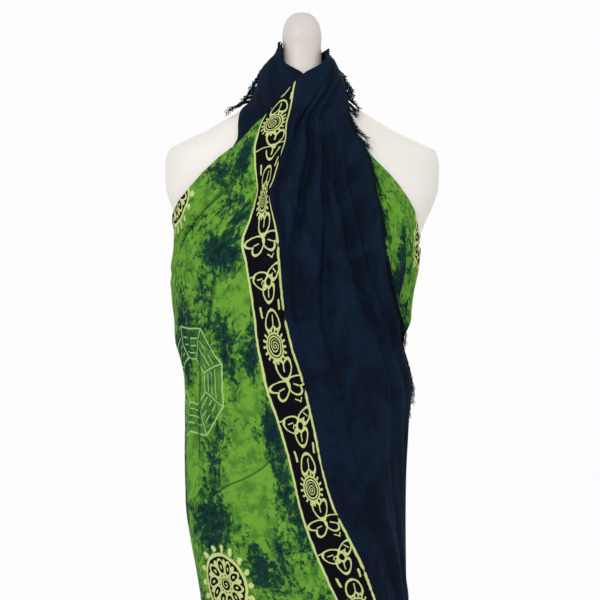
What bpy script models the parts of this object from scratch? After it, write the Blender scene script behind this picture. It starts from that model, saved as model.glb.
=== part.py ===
"""A batik sarong tied as a halter dress on a limbless torso form with a round stand.

Metres, +Z up, the wearer's front towards -Y. The origin is the centre of the stand's underside.
The sarong is one rectangle of cloth. It goes round the back and under both arm caps, its two top
corners cross in front of the chest and are knotted behind the neck. Each stretch that shows is a
closed wall. A point of the cloth has a place along the length of the rectangle, from the corner
of the under end (0) to the corner of the over end (1.6), and a depth below its top edge.
"""
import math
from dataclasses import dataclass

import bmesh
import bpy
import numpy as np

# The rectangle as it was cut
CLOTH_LENGTH = 1.60
CLOTH_WIDTH = 1.10
NAVY_END = 0.265
BAND_WIDTH = 0.054
CORNER_TO_NECK = 0.18
FRINGE_LENGTH = 0.045

# Walls and gaps
WALL = 0.0015
SEAM_GAP = 0.0003
LAYER_STEP = 0.0044
ROUNDING = 0.0030
SOFT_FLOOR = 0.0010

# The stand
BASE_RADIUS = 0.170
BASE_THICKNESS = 0.008
BASE_EDGE = 0.002
POLE_RADIUS = 0.0125
COLLAR_RADIUS = 0.025
COLLAR_HEIGHT = 0.022
SOCKET_RADIUS = 0.034
SOCKET_HEIGHT = 0.012
FORM_BOTTOM = 0.800

# How squarely the form's sections turn: 2 is an ellipse
SECTION_POWER = 2.4
FORM_COLUMNS = 36

# The form's sections: height, half width, depth to the front, depth to the back
FORM_SECTIONS = (
    (1.5800, 0.0020, 0.0020, 0.0020),
    (1.5772, 0.0120, 0.0120, 0.0120),
    (1.5700, 0.0205, 0.0205, 0.0205),
    (1.5600, 0.0255, 0.0255, 0.0255),
    (1.5450, 0.0278, 0.0278, 0.0278),
    (1.5300, 0.0268, 0.0268, 0.0270),
    (1.5150, 0.0270, 0.0270, 0.0278),
    (1.5000, 0.0290, 0.0285, 0.0305),
    (1.4850, 0.0340, 0.0320, 0.0360),
    (1.4700, 0.0430, 0.0375, 0.0450),
    (1.4550, 0.0620, 0.0450, 0.0550),
    (1.4400, 0.0880, 0.0530, 0.0650),
    (1.4250, 0.1130, 0.0610, 0.0740),
    (1.4100, 0.1400, 0.0670, 0.0810),
    (1.3970, 0.1680, 0.0720, 0.0850),
    (1.3850, 0.1870, 0.0780, 0.0880),
    (1.3650, 0.1915, 0.0860, 0.0910),
    (1.3350, 0.1905, 0.0950, 0.0930),
    (1.3050, 0.1815, 0.1050, 0.0940),
    (1.2860, 0.1725, 0.1100, 0.0940),
    (1.2500, 0.1585, 0.1160, 0.0940),
    (1.2100, 0.1480, 0.1210, 0.0930),
    (1.1700, 0.1380, 0.1160, 0.0910),
    (1.1200, 0.1250, 0.1020, 0.0870),
    (1.0600, 0.1150, 0.0900, 0.0830),
    (1.0000, 0.1160, 0.0880, 0.0860),
    (0.9400, 0.1210, 0.0900, 0.0930),
    (0.8700, 0.1240, 0.0920, 0.0990),
    (0.8060, 0.1240, 0.0920, 0.1000),
    (0.8000, 0.1190, 0.0870, 0.0950),
)

# Clearance of the cloth's outer face over the form, more where the form turns sharply
FORM_CLEARANCE = (
    (1.550, 0.0030),
    (1.470, 0.0036),
    (1.440, 0.0052),
    (1.280, 0.0050),
    (1.220, 0.0030),
    (0.800, 0.0030),
)

# The cloth's hanging outline: height, reach to the left, to the right, to the front, to the back
HANG_SECTIONS = (
    (1.550, 0.028, 0.028, 0.028, 0.028),
    (1.534, 0.030, 0.029, 0.029, 0.031),
    (1.521, 0.038, 0.031, 0.032, 0.036),
    (1.512, 0.047, 0.041, 0.035, 0.041),
    (1.500, 0.055, 0.047, 0.038, 0.046),
    (1.487, 0.060, 0.052, 0.041, 0.050),
    (1.458, 0.070, 0.063, 0.050, 0.059),
    (1.440, 0.080, 0.075, 0.056, 0.067),
    (1.390, 0.100, 0.100, 0.080, 0.084),
    (1.330, 0.150, 0.145, 0.098, 0.095),
    (1.286, 0.173, 0.160, 0.113, 0.097),
    (1.250, 0.174, 0.162, 0.123, 0.098),
    (1.230, 0.1765, 0.1610, 0.1270, 0.0985),
    (1.212, 0.1770, 0.1585, 0.1290, 0.0990),
    (1.177, 0.1745, 0.1520, 0.1290, 0.0990),
    (1.149, 0.1705, 0.1490, 0.1275, 0.0990),
    (1.120, 0.1690, 0.1385, 0.1255, 0.0995),
    (1.100, 0.1640, 0.1400, 0.1245, 0.1000),
    (1.065, 0.1580, 0.1440, 0.1230, 0.1010),
    (1.000, 0.1575, 0.1365, 0.1210, 0.1030),
    (0.953, 0.1575, 0.1330, 0.1200, 0.1050),
    (0.897, 0.1565, 0.1320, 0.1190, 0.1070),
    (0.844, 0.1495, 0.1325, 0.1180, 0.1080),
    (0.790, 0.1385, 0.1335, 0.1170, 0.1080),
    (0.757, 0.1330, 0.1370, 0.1170, 0.1080),
    (0.650, 0.1290, 0.1370, 0.1170, 0.1090),
    (0.450, 0.1310, 0.1380, 0.1190, 0.1120),
    (0.140, 0.1400, 0.1440, 0.1250, 0.1200),
)

# Top edges: angle round the form from the front in degrees, towards the wearer's left, and height
OVER_TOP = (
    (-110, 1.283),
    (-81, 1.286),
    (-66, 1.321),
    (-58, 1.356),
    (-48, 1.394),
    (-43, 1.419),
    (-22, 1.464),
    (3, 1.489),
    (34, 1.503),
    (48, 1.513),
    (58, 1.522),
)
UNDER_TOP = (
    (110, 1.243),
    (90, 1.247),
    (73, 1.269),
    (66, 1.293),
    (61, 1.317),
    (56, 1.345),
    (51, 1.366),
    (46, 1.390),
    (38, 1.420),
    (28, 1.450),
    (15, 1.475),
    (1, 1.490),
    (-18, 1.498),
    (-36, 1.506),
    (-49, 1.520),
    (-60, 1.535),
)
BACK_TOP = (
    (110, 1.243),
    (145, 1.236),
    (180, 1.238),
    (215, 1.255),
    (250, 1.283),
)

# Where the gathered corner meets the neck: angle and height of its upper and of its lower end
OVER_GATHER = ((58, 1.522), (108, 1.509))
UNDER_GATHER = ((-60, 1.535), (-112, 1.516))

# Lines of the print on the form: height, and the angle of each line in degrees
OVER_LINES = (
    (1.522, -110, -44, -20, 108),
    (1.512, -110, -44, -20, 107),
    (1.502, -110, -44, -20, 105),
    (1.489, -110, -44, -20, 93),
    (1.464, -110, -43, -21, 68),
    (1.439, -110, -42, -20, 50),
    (1.419, -110, -42.6, -20, 44.5),
    (1.392, -110, -41, -17.5, 44.8),
    (1.356, -110, -37.3, -20, 45),
    (1.331, -110, -32.6, -22, 44.2),
    (1.311, -110, -30.3, -20.5, 44.5),
    (1.282, -110, -32.2, -16.5, 45),
    (1.257, -110, -34.7, -13.8, 44.8),
    (1.222, -110, -31.0, -12.3, 46.5),
    (1.167, -110, -27.6, -10.2, 54),
    (1.119, -110, -25.9, -6.2, 66),
    (1.065, -110, -22.0, 1.5, 77),
    (1.002, -109, -13.4, 8.0, 86),
    (0.942, -108, -6.3, 13.6, 91),
    (0.902, -107, -2.4, 19.0, 94),
    (0.863, -106, 3.1, 27.2, 97),
    (0.808, -105, 13.6, 38.9, 100),
    (0.759, -104, 23.5, 45.9, 102),
    (0.650, -103, 33.0, 54.0, 105),
    (0.450, -102, 41.0, 61.0, 108),
    (0.050, -102, 45.0, 65.0, 109),
)
UNDER_LINES = (
    (1.535, -112, -30, 110),
    (1.517, -111, -8, 110),
    (1.500, -106, 6, 110),
    (1.478, -98, 14, 110),
    (1.457, -87, 18, 110),
    (1.443, -71, 20, 110),
    (1.420, -58, 21, 110),
    (1.391, -51, 21, 110),
    (1.330, -55, 22, 110),
    (1.250, -66, 20, 110),
    (1.150, -78, 14, 110),
    (1.050, -84, 7, 110),
    (0.900, -88, -5, 110),
    (0.760, -90, -16, 110),
    (0.500, -92, -24, 110),
    (0.050, -92, -27, 110),
)
# The back lies between the two seams
BACK_LINES = tuple((row[0], 110, row[1] + 360) for row in OVER_LINES)

# Heights at which each fold's place and height are stated
FOLD_LEVELS = (1.52, 1.42, 1.33, 1.21, 1.12, 0.95, 0.76, 0.30)

# Where the over layer rises over the under layer at the back: start and span in degrees
BACK_STEP_START = 125
BACK_STEP_SPAN = 110

# Share of each fold's height that is left near the neck, where the folds are packed close
NECK_TAPER = (
    (1.540, 0.10),
    (1.510, 0.15),
    (1.490, 0.35),
    (1.460, 0.75),
    (1.420, 1.00),
)

# How far the cloth stands out before its folds, in millimetres at the fold levels: the place on
# the cloth, then a height at each level
OVER_FULLNESS = (
    (0.974, (0, 0, 0, 0, 0, 0, 0, 0)),
    (1.030, (0, 0, 1, 1, 1, 3, 5, 8)),
    (1.281, (0, 1, 2, 2, 2, 3, 5, 8)),
    (1.335, (0.5, 3, 5, 5, 3, 4, 6, 9)),
    (1.375, (1.5, 8, 12, 12, 9, 7, 8, 10)),
    (1.575, (1.5, 8, 13, 12, 9, 8, 8, 10)),
    (1.600, (1.0, 4, 5, 5, 5, 5, 6, 8)),
)
UNDER_FULLNESS = (
    (0.000, (1.0, 1, 0, 0, 0, 0, 0, 0)),
    (0.180, (1.0, 1, 0, 0, 0, 0, 0, 0)),
    (0.360, (0, 0, 0, 0, 0, 0, 0, 0)),
    (0.480, (0, 0, 0, 1, 0, 0, 0, 0)),
    (0.530, (0, 0, 1, 3, 2, 0, 0, 0)),
    (0.590, (0, 0, 0, 3, 2, 0, 2, 4)),
    (0.645, (0, 0, 0, 0, 0, 0, 0, 0)),
)
BACK_FULLNESS = (
    (0.646, (0, 0, 0, 0, 0, 0, 0, 0)),
    (0.680, (0, 0, 4, 6, 6, 7, 8, 11)),
    (0.940, (0, 0, 4, 6, 6, 7, 8, 11)),
    (0.974, (0, 0, 0, 0, 0, 0, 0, 0)),
)

# Folds: place on the cloth at each level, height in millimetres at each level, half width
OVER_FOLDS = (
    ((1.438, 1.395, 1.369, 1.340, 1.336, 1.34, 1.35, 1.36), (-1, -7, -8, -3, 0, 0, -3, -7), 0.012),
    ((1.470, 1.448, 1.426, 1.353, 1.346, 1.35, 1.37, 1.40), (-1, -8, -12, -11, -7, -4, -5, -8), 0.013),
    ((1.502, 1.497, 1.486, 1.446, 1.417, 1.41, 1.42, 1.44), (-1, -8, -13, -13, -10, -7, -6, -8), 0.014),
    ((1.536, 1.528, 1.518, 1.518, 1.528, 1.49, 1.48, 1.49), (-1, -8, -12, -11, -9, -7, -6, -8), 0.013),
    ((1.566, 1.557, 1.550, 1.557, 1.562, 1.55, 1.54, 1.54), (-1, -7, -10, -9, -7, -7, -6, -8), 0.011),
    ((1.300, 1.300, 1.300, 1.300, 1.30, 1.29, 1.28, 1.28), (0, 0, -2, -2, -1, -2, -4, -8), 0.024),
    ((1.245, 1.225, 1.200, 1.140, 1.13, 1.20, 1.20, 1.20), (0, 0, -1, -1, -1, -1, -4, -8), 0.026),
    ((1.160, 1.150, 1.140, 1.110, 1.10, 1.11, 1.12, 1.12), (0, 0, 0, 0, 2, -2, -4, -8), 0.028),
    ((1.085, 1.080, 1.075, 1.065, 1.055, 1.05, 1.05, 1.05), (0, 0, 0, 0, 2, -2, -4, -8), 0.020),
)
UNDER_FOLDS = (
    ((0.040, 0.045, 0.05, 0.06, 0.06, 0.06, 0.06, 0.06), (-1, -1, -2, -3, -4, -6, -6, -8), 0.012),
    ((0.085, 0.095, 0.10, 0.13, 0.14, 0.14, 0.14, 0.14), (-1, -1, -2, -3, -4, -6, -6, -8), 0.014),
    ((0.130, 0.150, 0.17, 0.21, 0.22, 0.22, 0.22, 0.22), (-1, -1, -2, -3, -4, -6, -6, -8), 0.018),
    ((0.300, 0.300, 0.30, 0.31, 0.31, 0.31, 0.31, 0.31), (0, 0, -2, -3, -4, -6, -7, -9), 0.020),
    ((0.410, 0.410, 0.42, 0.43, 0.42, 0.41, 0.41, 0.41), (0, 0, -4, -8, -7, -6, -7, -9), 0.013),
    ((0.460, 0.460, 0.47, 0.475, 0.47, 0.48, 0.48, 0.48), (0, 0, -4, -10, -9, -6, -6, -8), 0.012),
    ((0.510, 0.510, 0.52, 0.525, 0.52, 0.54, 0.55, 0.55), (0, 0, -3, -10, -9, -5, -6, -8), 0.012),
    ((0.560, 0.560, 0.56, 0.570, 0.57, 0.59, 0.60, 0.60), (0, 0, -2, -6, -4, -3, -3, -4), 0.011),
)
BACK_FOLDS = (
    ((0.700, 0.700, 0.70, 0.700, 0.695, 0.695, 0.695, 0.69), (0, 0, -4, -6, -6, -7, -8, -10), 0.011),
    ((0.740, 0.740, 0.74, 0.745, 0.750, 0.745, 0.740, 0.74), (0, 0, -4, -6, -7, -8, -8, -11), 0.011),
    ((0.785, 0.785, 0.79, 0.790, 0.795, 0.790, 0.785, 0.78), (0, 0, -4, -7, -7, -7, -8, -10), 0.012),
    ((0.830, 0.830, 0.83, 0.830, 0.830, 0.835, 0.835, 0.83), (0, 0, -4, -6, -6, -7, -8, -11), 0.010),
    ((0.870, 0.870, 0.87, 0.875, 0.875, 0.875, 0.880, 0.88), (0, 0, -4, -6, -7, -8, -8, -10), 0.011),
    ((0.915, 0.915, 0.915, 0.92, 0.920, 0.925, 0.930, 0.93), (0, 0, -4, -6, -6, -7, -8, -10), 0.011),
)

# Mesh counts: columns of each stretch, rows of the close upper part and of the long lower part
CLOSE_DEPTH = 0.42
OVER_COLUMNS = (14, 3, 23)
UNDER_COLUMNS = (9, 6, 14)
BACK_COLUMNS = 24
CLOSE_ROWS = 16
LONG_ROWS = 7
PATH_STEPS = 260
LOWEST = 0.04
TANGENT_STEP = 0.02
RELAX_DROP = 0.110

# The stretch behind the neck: angles and heights of a strap's upper and lower edge
OVER_STRAP = (
    ((58, 1.5236), (107.4, 1.5111)),
    ((80, 1.5280), (120, 1.5070)),
    ((106, 1.5305), (132, 1.4995)),
    ((128, 1.5288), (141, 1.4925)),
    ((148, 1.5254), (149, 1.4880)),
)
UNDER_STRAP = (
    ((-60, 1.5365), (-112, 1.5180)),
    ((-86, 1.5375), (-120, 1.5160)),
    ((-112, 1.5370), (-130, 1.5075)),
    ((-133, 1.5328), (-139, 1.4975)),
    ((-148, 1.5284), (-149, 1.4910)),
)
STRAP_SECTIONS = 9
STRAP_FOLDS = 3
STRAP_FOLD_HEIGHT = 0.0004
STRAP_LIFT = 0.0012
STRAP_CELLS = 12
# Folds of a strap: their height at its start as a share, and how fast they grow to full
FOLD_START = 0.35
FOLD_GROWTH = 4.0

# The knot behind the neck and its two tails
KNOT_CENTRE = (0.0, 0.0424, 1.508)
KNOT_HALF = (0.0242, 0.0125, 0.0175)
KNOT_POWER = 3.0
KNOT_TWIST = 0.06
KNOT_LOBES = 3
KNOT_WINDING = 2.5
KNOT_RINGS = 9
KNOT_SIDES = 18
TAIL_TOP = 1.4925
TAIL_DROP = 0.064
TAIL_SKEW = 0.12
TAIL_FLUTES = 1.5
TAIL_ROWS = 7
TAIL_COLUMNS = 8
TAIL_LIFT = 0.0032
TAIL_FOLD = 0.0025

# A tail from the knot down: share of its drop, angle from the back, half width, in degrees and m
TAIL_SECTIONS = (
    (0.00, 7.5, 0.0055),
    (0.25, 11.0, 0.0080),
    (0.60, 15.0, 0.0140),
    (1.00, 18.5, 0.0190),
)

# Fringe: a narrow strip with its strands
STRIP_WIDTH = 0.0035
STRIP_THICKNESS = 0.0015
STRAND_WIDTH = 0.0018
OVER_STRAND_PITCH = 0.0100
UNDER_STRAND_PITCH = 0.0056
UNDER_FRINGE_DROP = 0.135
STRAND_STAGGER = 0.0010
FRINGE_INSET = 0.004
OVER_SPREAD = 0.25
UNDER_SPREAD = 0.80

# The two lengths of a strand as shares of the fringe's length; the second varies in a wave
STRAND_SHARES = (0.42, 0.50)
STRAND_WAVE = (0.09, 2.4)
# Which way each length goes: share out from the edge, then share downwards
STRAND_WAYS = ((0.80, 0.60), (0.42, 0.90))
STRAND_TAPER = (0.85, 0.40)

# Strand clearance over the cloth under it: height, then clearance
STRAND_CLEARANCE = (
    (0.050, 0.0150),
    (0.760, 0.0120),
    (0.950, 0.0090),
    (1.150, 0.0060),
    (1.350, 0.0060),
    (1.390, 0.0110),
    (1.460, 0.0110),
    (1.540, 0.0050),
)

CLOTH_COLOUR = (0.012, 0.020, 0.036)
GREEN_COLOUR = (0.100, 0.200, 0.045)
FORM_COLOUR = (0.87, 0.84, 0.79)
STEEL_COLOUR = (0.55, 0.55, 0.56)
STEEL_ROUGHNESS = 0.35
FORM_ROUGHNESS = 0.45


def smooth_curve(places, values):
    """Return a smooth function through the given values that never overshoots them."""
    order = np.argsort(places)
    x = np.array(places, float)[order]
    y = np.array(values, float)[order]
    step = np.diff(x)
    slope = np.diff(y) / step
    before = slope[:-1]
    after = slope[1:]
    same_way = before * after > 0
    total = np.where(same_way, before + after, 1.0)
    tangent = np.zeros_like(y)
    tangent[1:-1] = np.where(same_way, 2 * before * after / total, 0.0)
    tangent[0] = slope[0]
    tangent[-1] = slope[-1]

    def value(at):
        at = np.clip(np.asarray(at, float), x[0], x[-1])
        i = np.clip(np.searchsorted(x, at) - 1, 0, len(step) - 1)
        u = (at - x[i]) / step[i]
        start = (2 * u**3 - 3 * u**2 + 1) * y[i] + (u**3 - 2 * u**2 + u) * step[i] * tangent[i]
        end = (3 * u**2 - 2 * u**3) * y[i + 1] + (u**3 - u**2) * step[i] * tangent[i + 1]
        return start + end

    return value


def column_curves(table):
    """Return one smooth function of the first column for each of the others."""
    columns = list(zip(*table))
    return [smooth_curve(columns[0], column) for column in columns[1:]]


form_width, form_front, form_back = column_curves(FORM_SECTIONS)
(neck_taper,) = column_curves(NECK_TAPER)
(form_clearance,) = column_curves(FORM_CLEARANCE)
hang_left, hang_right, hang_front, hang_back = column_curves(HANG_SECTIONS)


def section_radius(angle, half_width, depth):
    """Radius of a rounded section at an angle from the front."""
    across = (np.abs(np.sin(angle)) / half_width) ** SECTION_POWER
    along = (np.abs(np.cos(angle)) / depth) ** SECTION_POWER
    return (across + along) ** (-1 / SECTION_POWER)


def form_radius(angle, height):
    depth = np.where(np.cos(angle) >= 0, form_front(height), form_back(height))
    return section_radius(angle, form_width(height), depth)


def drape_radius(angle, height):
    """Radius of the undermost cloth's face: over the form where it is full, hanging elsewhere."""
    width = np.where(np.sin(angle) >= 0, hang_right(height), hang_left(height))
    depth = np.where(np.cos(angle) >= 0, hang_front(height), hang_back(height))
    hanging = section_radius(angle, width, depth)
    resting = form_radius(angle, height) + form_clearance(height)
    return 0.5 * (hanging + resting + np.sqrt((hanging - resting) ** 2 + ROUNDING**2))


def ring_points(angle, height, radius):
    return np.stack([radius * np.sin(angle), -radius * np.cos(angle), height], axis=-1)


def path_lengths(points):
    """Lengths along the first axis of a grid of points, starting at zero."""
    steps = np.linalg.norm(np.diff(points, axis=0), axis=-1)
    return np.concatenate([np.zeros_like(steps[:1]), np.cumsum(steps, axis=0)])


def blend_rows(rows, places, heights):
    """Read a table of (place, values at the fold levels) at the given places and heights."""
    row_places = np.array([row[0] for row in rows])
    curves = [smooth_curve(FOLD_LEVELS, row[1]) for row in rows]
    values = np.stack([curve(heights) for curve in curves])
    last = len(rows) - 2
    i = np.clip(np.searchsorted(row_places, places) - 1, 0, last)
    share = (places - row_places[i]) / (row_places[i + 1] - row_places[i])
    share = np.clip(share, 0, 1)
    share = share * share * (3 - 2 * share)
    lower = np.take_along_axis(values, i[None], axis=0)[0]
    upper = np.take_along_axis(values, i[None] + 1, axis=0)[0]
    return lower + (upper - lower) * share


@dataclass
class Stretch:
    """One stretch of the cloth round the form."""

    top: tuple
    gather: tuple
    gather_place: float
    way: int
    line_places: tuple
    lines: tuple
    fullness: tuple
    folds: tuple
    steps_out: tuple

    def base_step(self, angle):
        """Height over the undermost cloth, which grows along the angle where the layers part."""
        start, end = self.steps_out
        share = np.clip((np.degrees(angle) - BACK_STEP_START) / BACK_STEP_SPAN, 0, 1)
        share = share * share * (3 - 2 * share)
        return start + (end - start) * share

    def measure_top(self):
        """Find angle and height of the top edge for each place on the cloth."""
        angles, heights = zip(*self.top)
        curve = smooth_curve(angles, heights)
        angle = np.linspace(angles[-1], angles[0], PATH_STEPS)
        height = curve(angle)
        turn = np.radians(angle)
        radius = drape_radius(turn, height) + self.base_step(turn)
        length = path_lengths(ring_points(turn, height, radius))
        self.top_places = self.gather_place + self.way * length
        self.top_angles = angle
        self.top_heights = height

    def rescale_top(self, first, last):
        """Spread the top edge between two places, where its folds take up the spare cloth."""
        length = np.abs(self.top_places - self.top_places[-1])
        self.top_places = first + (last - first) * length / length[0]

    def top_at(self, places):
        """Angle, height and depth on the cloth where each column of it starts."""
        order = np.argsort(self.top_places)
        known = self.top_places[order]
        angle = np.interp(places, known, self.top_angles[order])
        height = np.interp(places, known, self.top_heights[order])
        depth = np.zeros_like(places)
        if self.gather:
            past = -self.way * (places - self.gather_place)
            gathered = past > 0
            share = np.clip(past / CORNER_TO_NECK, 0, 1)
            upper, lower = self.gather
            angle = np.where(gathered, upper[0] + (lower[0] - upper[0]) * share, angle)
            height = np.where(gathered, upper[1] + (lower[1] - upper[1]) * share, height)
            depth = np.where(gathered, past, depth)
        return angle, height, depth

    def line_angle(self, places, heights):
        """Angle of the thread at each place of the cloth, between the lines of the print."""
        curves = column_curves(self.lines)
        angles = np.stack([curve(heights) for curve in curves])
        known = np.array(self.line_places)
        i = np.clip(np.searchsorted(known, places) - 1, 0, len(known) - 2)
        share = (places - known[i]) / (known[i + 1] - known[i])
        lower = np.take_along_axis(angles, i[None], axis=0)[0]
        upper = np.take_along_axis(angles, i[None] + 1, axis=0)[0]
        return lower + (upper - lower) * share

    def fold_height(self, places, heights):
        """Height of the folds over the plain drape."""
        total = blend_rows(self.fullness, places, heights)
        for fold_places, fold_heights, half_width in self.folds:
            centre = smooth_curve(FOLD_LEVELS, fold_places)(heights)
            size = smooth_curve(FOLD_LEVELS, fold_heights)(heights)
            total = total + size * np.exp(-(((places - centre) / half_width) ** 2))
        return total / 1000 * np.clip(neck_taper(heights), 0, 1)

    def face_point(self, places, angles, heights):
        """Point of the cloth's outer face."""
        turn = np.radians(angles)
        floor = self.base_step(turn)
        base = drape_radius(turn, heights)
        fold = self.fold_height(places, heights)
        if min(self.steps_out) > 0 or self.way == 0:
            fold = 0.5 * (fold + np.sqrt(fold**2 + SOFT_FLOOR**2) - SOFT_FLOOR)
        else:
            room = base - form_radius(turn, heights) - form_clearance(heights)
            fold = np.where(fold < 0, -room * np.tanh(-fold / np.maximum(room, 1e-5)), fold)
        return ring_points(turn, heights, base + floor + fold)

    def grid(self, places):
        """Outer face of the stretch: rows of depth by columns of place."""
        top_angle, top_height, top_depth = self.top_at(places)
        share = np.linspace(0, 1, PATH_STEPS)[:, None]
        heights = top_height + (LOWEST - top_height) * share
        wide = np.broadcast_to(places, heights.shape)
        start = self.line_angle(places[None], top_height[None])[0]
        fall = np.clip((top_height - heights) / RELAX_DROP, 0, 1)
        relax = 0.5 + 0.5 * np.cos(math.pi * fall)
        angles = self.line_angle(wide, heights) + (top_angle - start) * relax
        turn = np.radians(angles)
        radius = drape_radius(turn, heights) + self.base_step(turn)
        length = path_lengths(ring_points(turn, heights, radius))
        columns = []
        for i, place in enumerate(places):
            depth = row_depths(top_depth[i]) - top_depth[i]
            height = np.interp(depth, length[:, i], heights[:, i])
            angle = np.interp(depth, length[:, i], angles[:, i])
            columns.append(self.face_point(np.full_like(depth, place), angle, height))
        return np.stack(columns, axis=1)


band_inner = CLOTH_LENGTH - NAVY_END
band_outer = band_inner - BAND_WIDTH

over = Stretch(OVER_TOP, OVER_GATHER, CLOTH_LENGTH - CORNER_TO_NECK, -1, (), OVER_LINES,
               OVER_FULLNESS, OVER_FOLDS, (LAYER_STEP, LAYER_STEP))
under = Stretch(UNDER_TOP, UNDER_GATHER, CORNER_TO_NECK, 1, (), UNDER_LINES,
                UNDER_FULLNESS, UNDER_FOLDS, (0.0, 0.0))
back = Stretch(BACK_TOP, (), 0.0, 0, (), BACK_LINES, BACK_FULLNESS, BACK_FOLDS, (0.0, LAYER_STEP))


def settle_stretches():
    """Measure the top edges, so that the three stretches share the length of the cloth."""
    over.measure_top()
    under.measure_top()
    left_seam = over.top_places.min()
    right_seam = under.top_places.max()
    over.line_places = (left_seam, band_outer, band_inner, CLOTH_LENGTH)
    under.line_places = (0.0, NAVY_END + BAND_WIDTH / 2, right_seam)
    back.way = 1
    back.measure_top()
    back.way = 0
    back.rescale_top(right_seam, left_seam)
    back.line_places = (right_seam, left_seam)
    return left_seam, right_seam


def spaced(stops, counts):
    """Places along the cloth from stop to stop, each span evenly divided."""
    places = [stops[0]]
    for start, end, count in zip(stops, stops[1:], counts):
        places.extend(start + (end - start) * (k + 1) / count for k in range(count))
    return np.array(places)


def row_depths(top_depth):
    """Depths on the cloth of the rows of a column that starts at a given depth."""
    turn = top_depth + CLOSE_DEPTH
    upper = np.linspace(top_depth, turn, CLOSE_ROWS + 1)
    lower = np.linspace(turn, CLOTH_WIDTH, LONG_ROWS + 1)
    return np.concatenate([upper, lower[1:]])


def make_material(name, colour, roughness, metallic=0.0):
    material = bpy.data.materials.new(name)
    material.use_nodes = True
    shader = material.node_tree.nodes["Principled BSDF"]
    shader.inputs["Base Color"].default_value = (*colour, 1.0)
    shader.inputs["Roughness"].default_value = roughness
    shader.inputs["Metallic"].default_value = metallic
    return material


def add_object(name, bm, colour, roughness=0.75, metallic=0.0):
    """Turn a finished bmesh into a named object with a material of its own."""
    mesh = bpy.data.meshes.new(name)
    bm.to_mesh(mesh)
    bm.free()
    mesh.shade_smooth()
    mesh.set_sharp_from_angle(angle=math.radians(40))
    piece = bpy.data.objects.new(name, mesh)
    bpy.context.scene.collection.objects.link(piece)
    mesh.materials.append(make_material(name, colour, roughness, metallic))
    return piece


def drape_tangent(points):
    """Direction round the plain drape at points near it."""
    turn = np.arctan2(points[:, 0], -points[:, 1])
    height = points[:, 2]
    ahead = ring_points(turn + TANGENT_STEP, height, drape_radius(turn + TANGENT_STEP, height))
    behind = ring_points(turn - TANGENT_STEP, height, drape_radius(turn - TANGENT_STEP, height))
    return ahead - behind


def wall_normals(points, seam_columns):
    """Outward normals of a grid of points whose rows go down and whose columns turn left."""
    down = np.gradient(points, axis=0)
    across = np.gradient(points, axis=1)
    for column in seam_columns:
        across[:, column] = drape_tangent(points[:, column])
    normal = np.cross(down, across)
    return normal / np.linalg.norm(normal, axis=-1, keepdims=True)


def add_wall(name, points, colour, seam_columns=()):
    """Make a closed wall under a grid of outer points."""
    rows, columns = points.shape[:2]
    inner = points - WALL * wall_normals(points, seam_columns)
    bm = bmesh.new()
    faces = []
    for face in (points, inner):
        faces.append([[bm.verts.new(point) for point in row] for row in face])
    outside, inside = faces
    for r in range(rows - 1):
        for c in range(columns - 1):
            outer = (outside[r][c], outside[r + 1][c], outside[r + 1][c + 1], outside[r][c + 1])
            lining = (inside[r][c], inside[r][c + 1], inside[r + 1][c + 1], inside[r + 1][c])
            bm.faces.new(outer)
            bm.faces.new(lining)
    rim = [(0, c) for c in range(columns)]
    rim += [(r, columns - 1) for r in range(1, rows)]
    rim += [(rows - 1, c) for c in range(columns - 2, -1, -1)]
    rim += [(r, 0) for r in range(rows - 2, 0, -1)]
    for here, there in zip(rim, rim[1:] + rim[:1]):
        a = outside[here[0]][here[1]]
        b = outside[there[0]][there[1]]
        c = inside[there[0]][there[1]]
        d = inside[here[0]][here[1]]
        bm.faces.new((a, b, c, d))
    return add_object(name, bm, colour)


def trim_side(points, column, direction):
    """Move a side column back by half the seam gap, towards its neighbour column."""
    side = points[:, column]
    neighbour = points[:, column + direction]
    pull = neighbour - side
    pull /= np.linalg.norm(pull, axis=-1, keepdims=True)
    points[:, column] = side + pull * SEAM_GAP / 2


def turned_piece(name, profile, sides, colour, roughness, metallic):
    """Turn a closed outline of (radius, height) round the stand's axis."""
    bm = bmesh.new()
    rings = []
    for radius, height in profile:
        ring = []
        for k in range(sides):
            turn = 2 * math.pi * k / sides
            ring.append(bm.verts.new((radius * math.cos(turn), radius * math.sin(turn), height)))
        rings.append(ring)
    for lower, upper in zip(rings, rings[1:]):
        for k in range(sides):
            n = (k + 1) % sides
            bm.faces.new((lower[k], lower[n], upper[n], upper[k]))
    hollow = profile[0] == profile[-1]
    if hollow:
        bmesh.ops.remove_doubles(bm, verts=bm.verts, dist=1e-6)
    else:
        bm.faces.new(list(reversed(rings[0])))
        bm.faces.new(rings[-1])
    return add_object(name, bm, colour, roughness, metallic)


def make_form():
    """The torso form: one closed shell of smooth sections with a flat underside."""
    bm = bmesh.new()
    rings = []
    turn = np.linspace(0, 2 * math.pi, FORM_COLUMNS, endpoint=False)
    for section in FORM_SECTIONS:
        height = section[0]
        points = ring_points(turn, np.full_like(turn, height), form_radius(turn, height))
        rings.append([bm.verts.new(point) for point in points])
    for upper, lower in zip(rings, rings[1:]):
        for k in range(FORM_COLUMNS):
            n = (k + 1) % FORM_COLUMNS
            bm.faces.new((upper[k], lower[k], lower[n], upper[n]))
    bm.faces.new(rings[0])
    bm.faces.new(list(reversed(rings[-1])))
    return add_object("form_torso", bm, FORM_COLOUR, FORM_ROUGHNESS)


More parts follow.
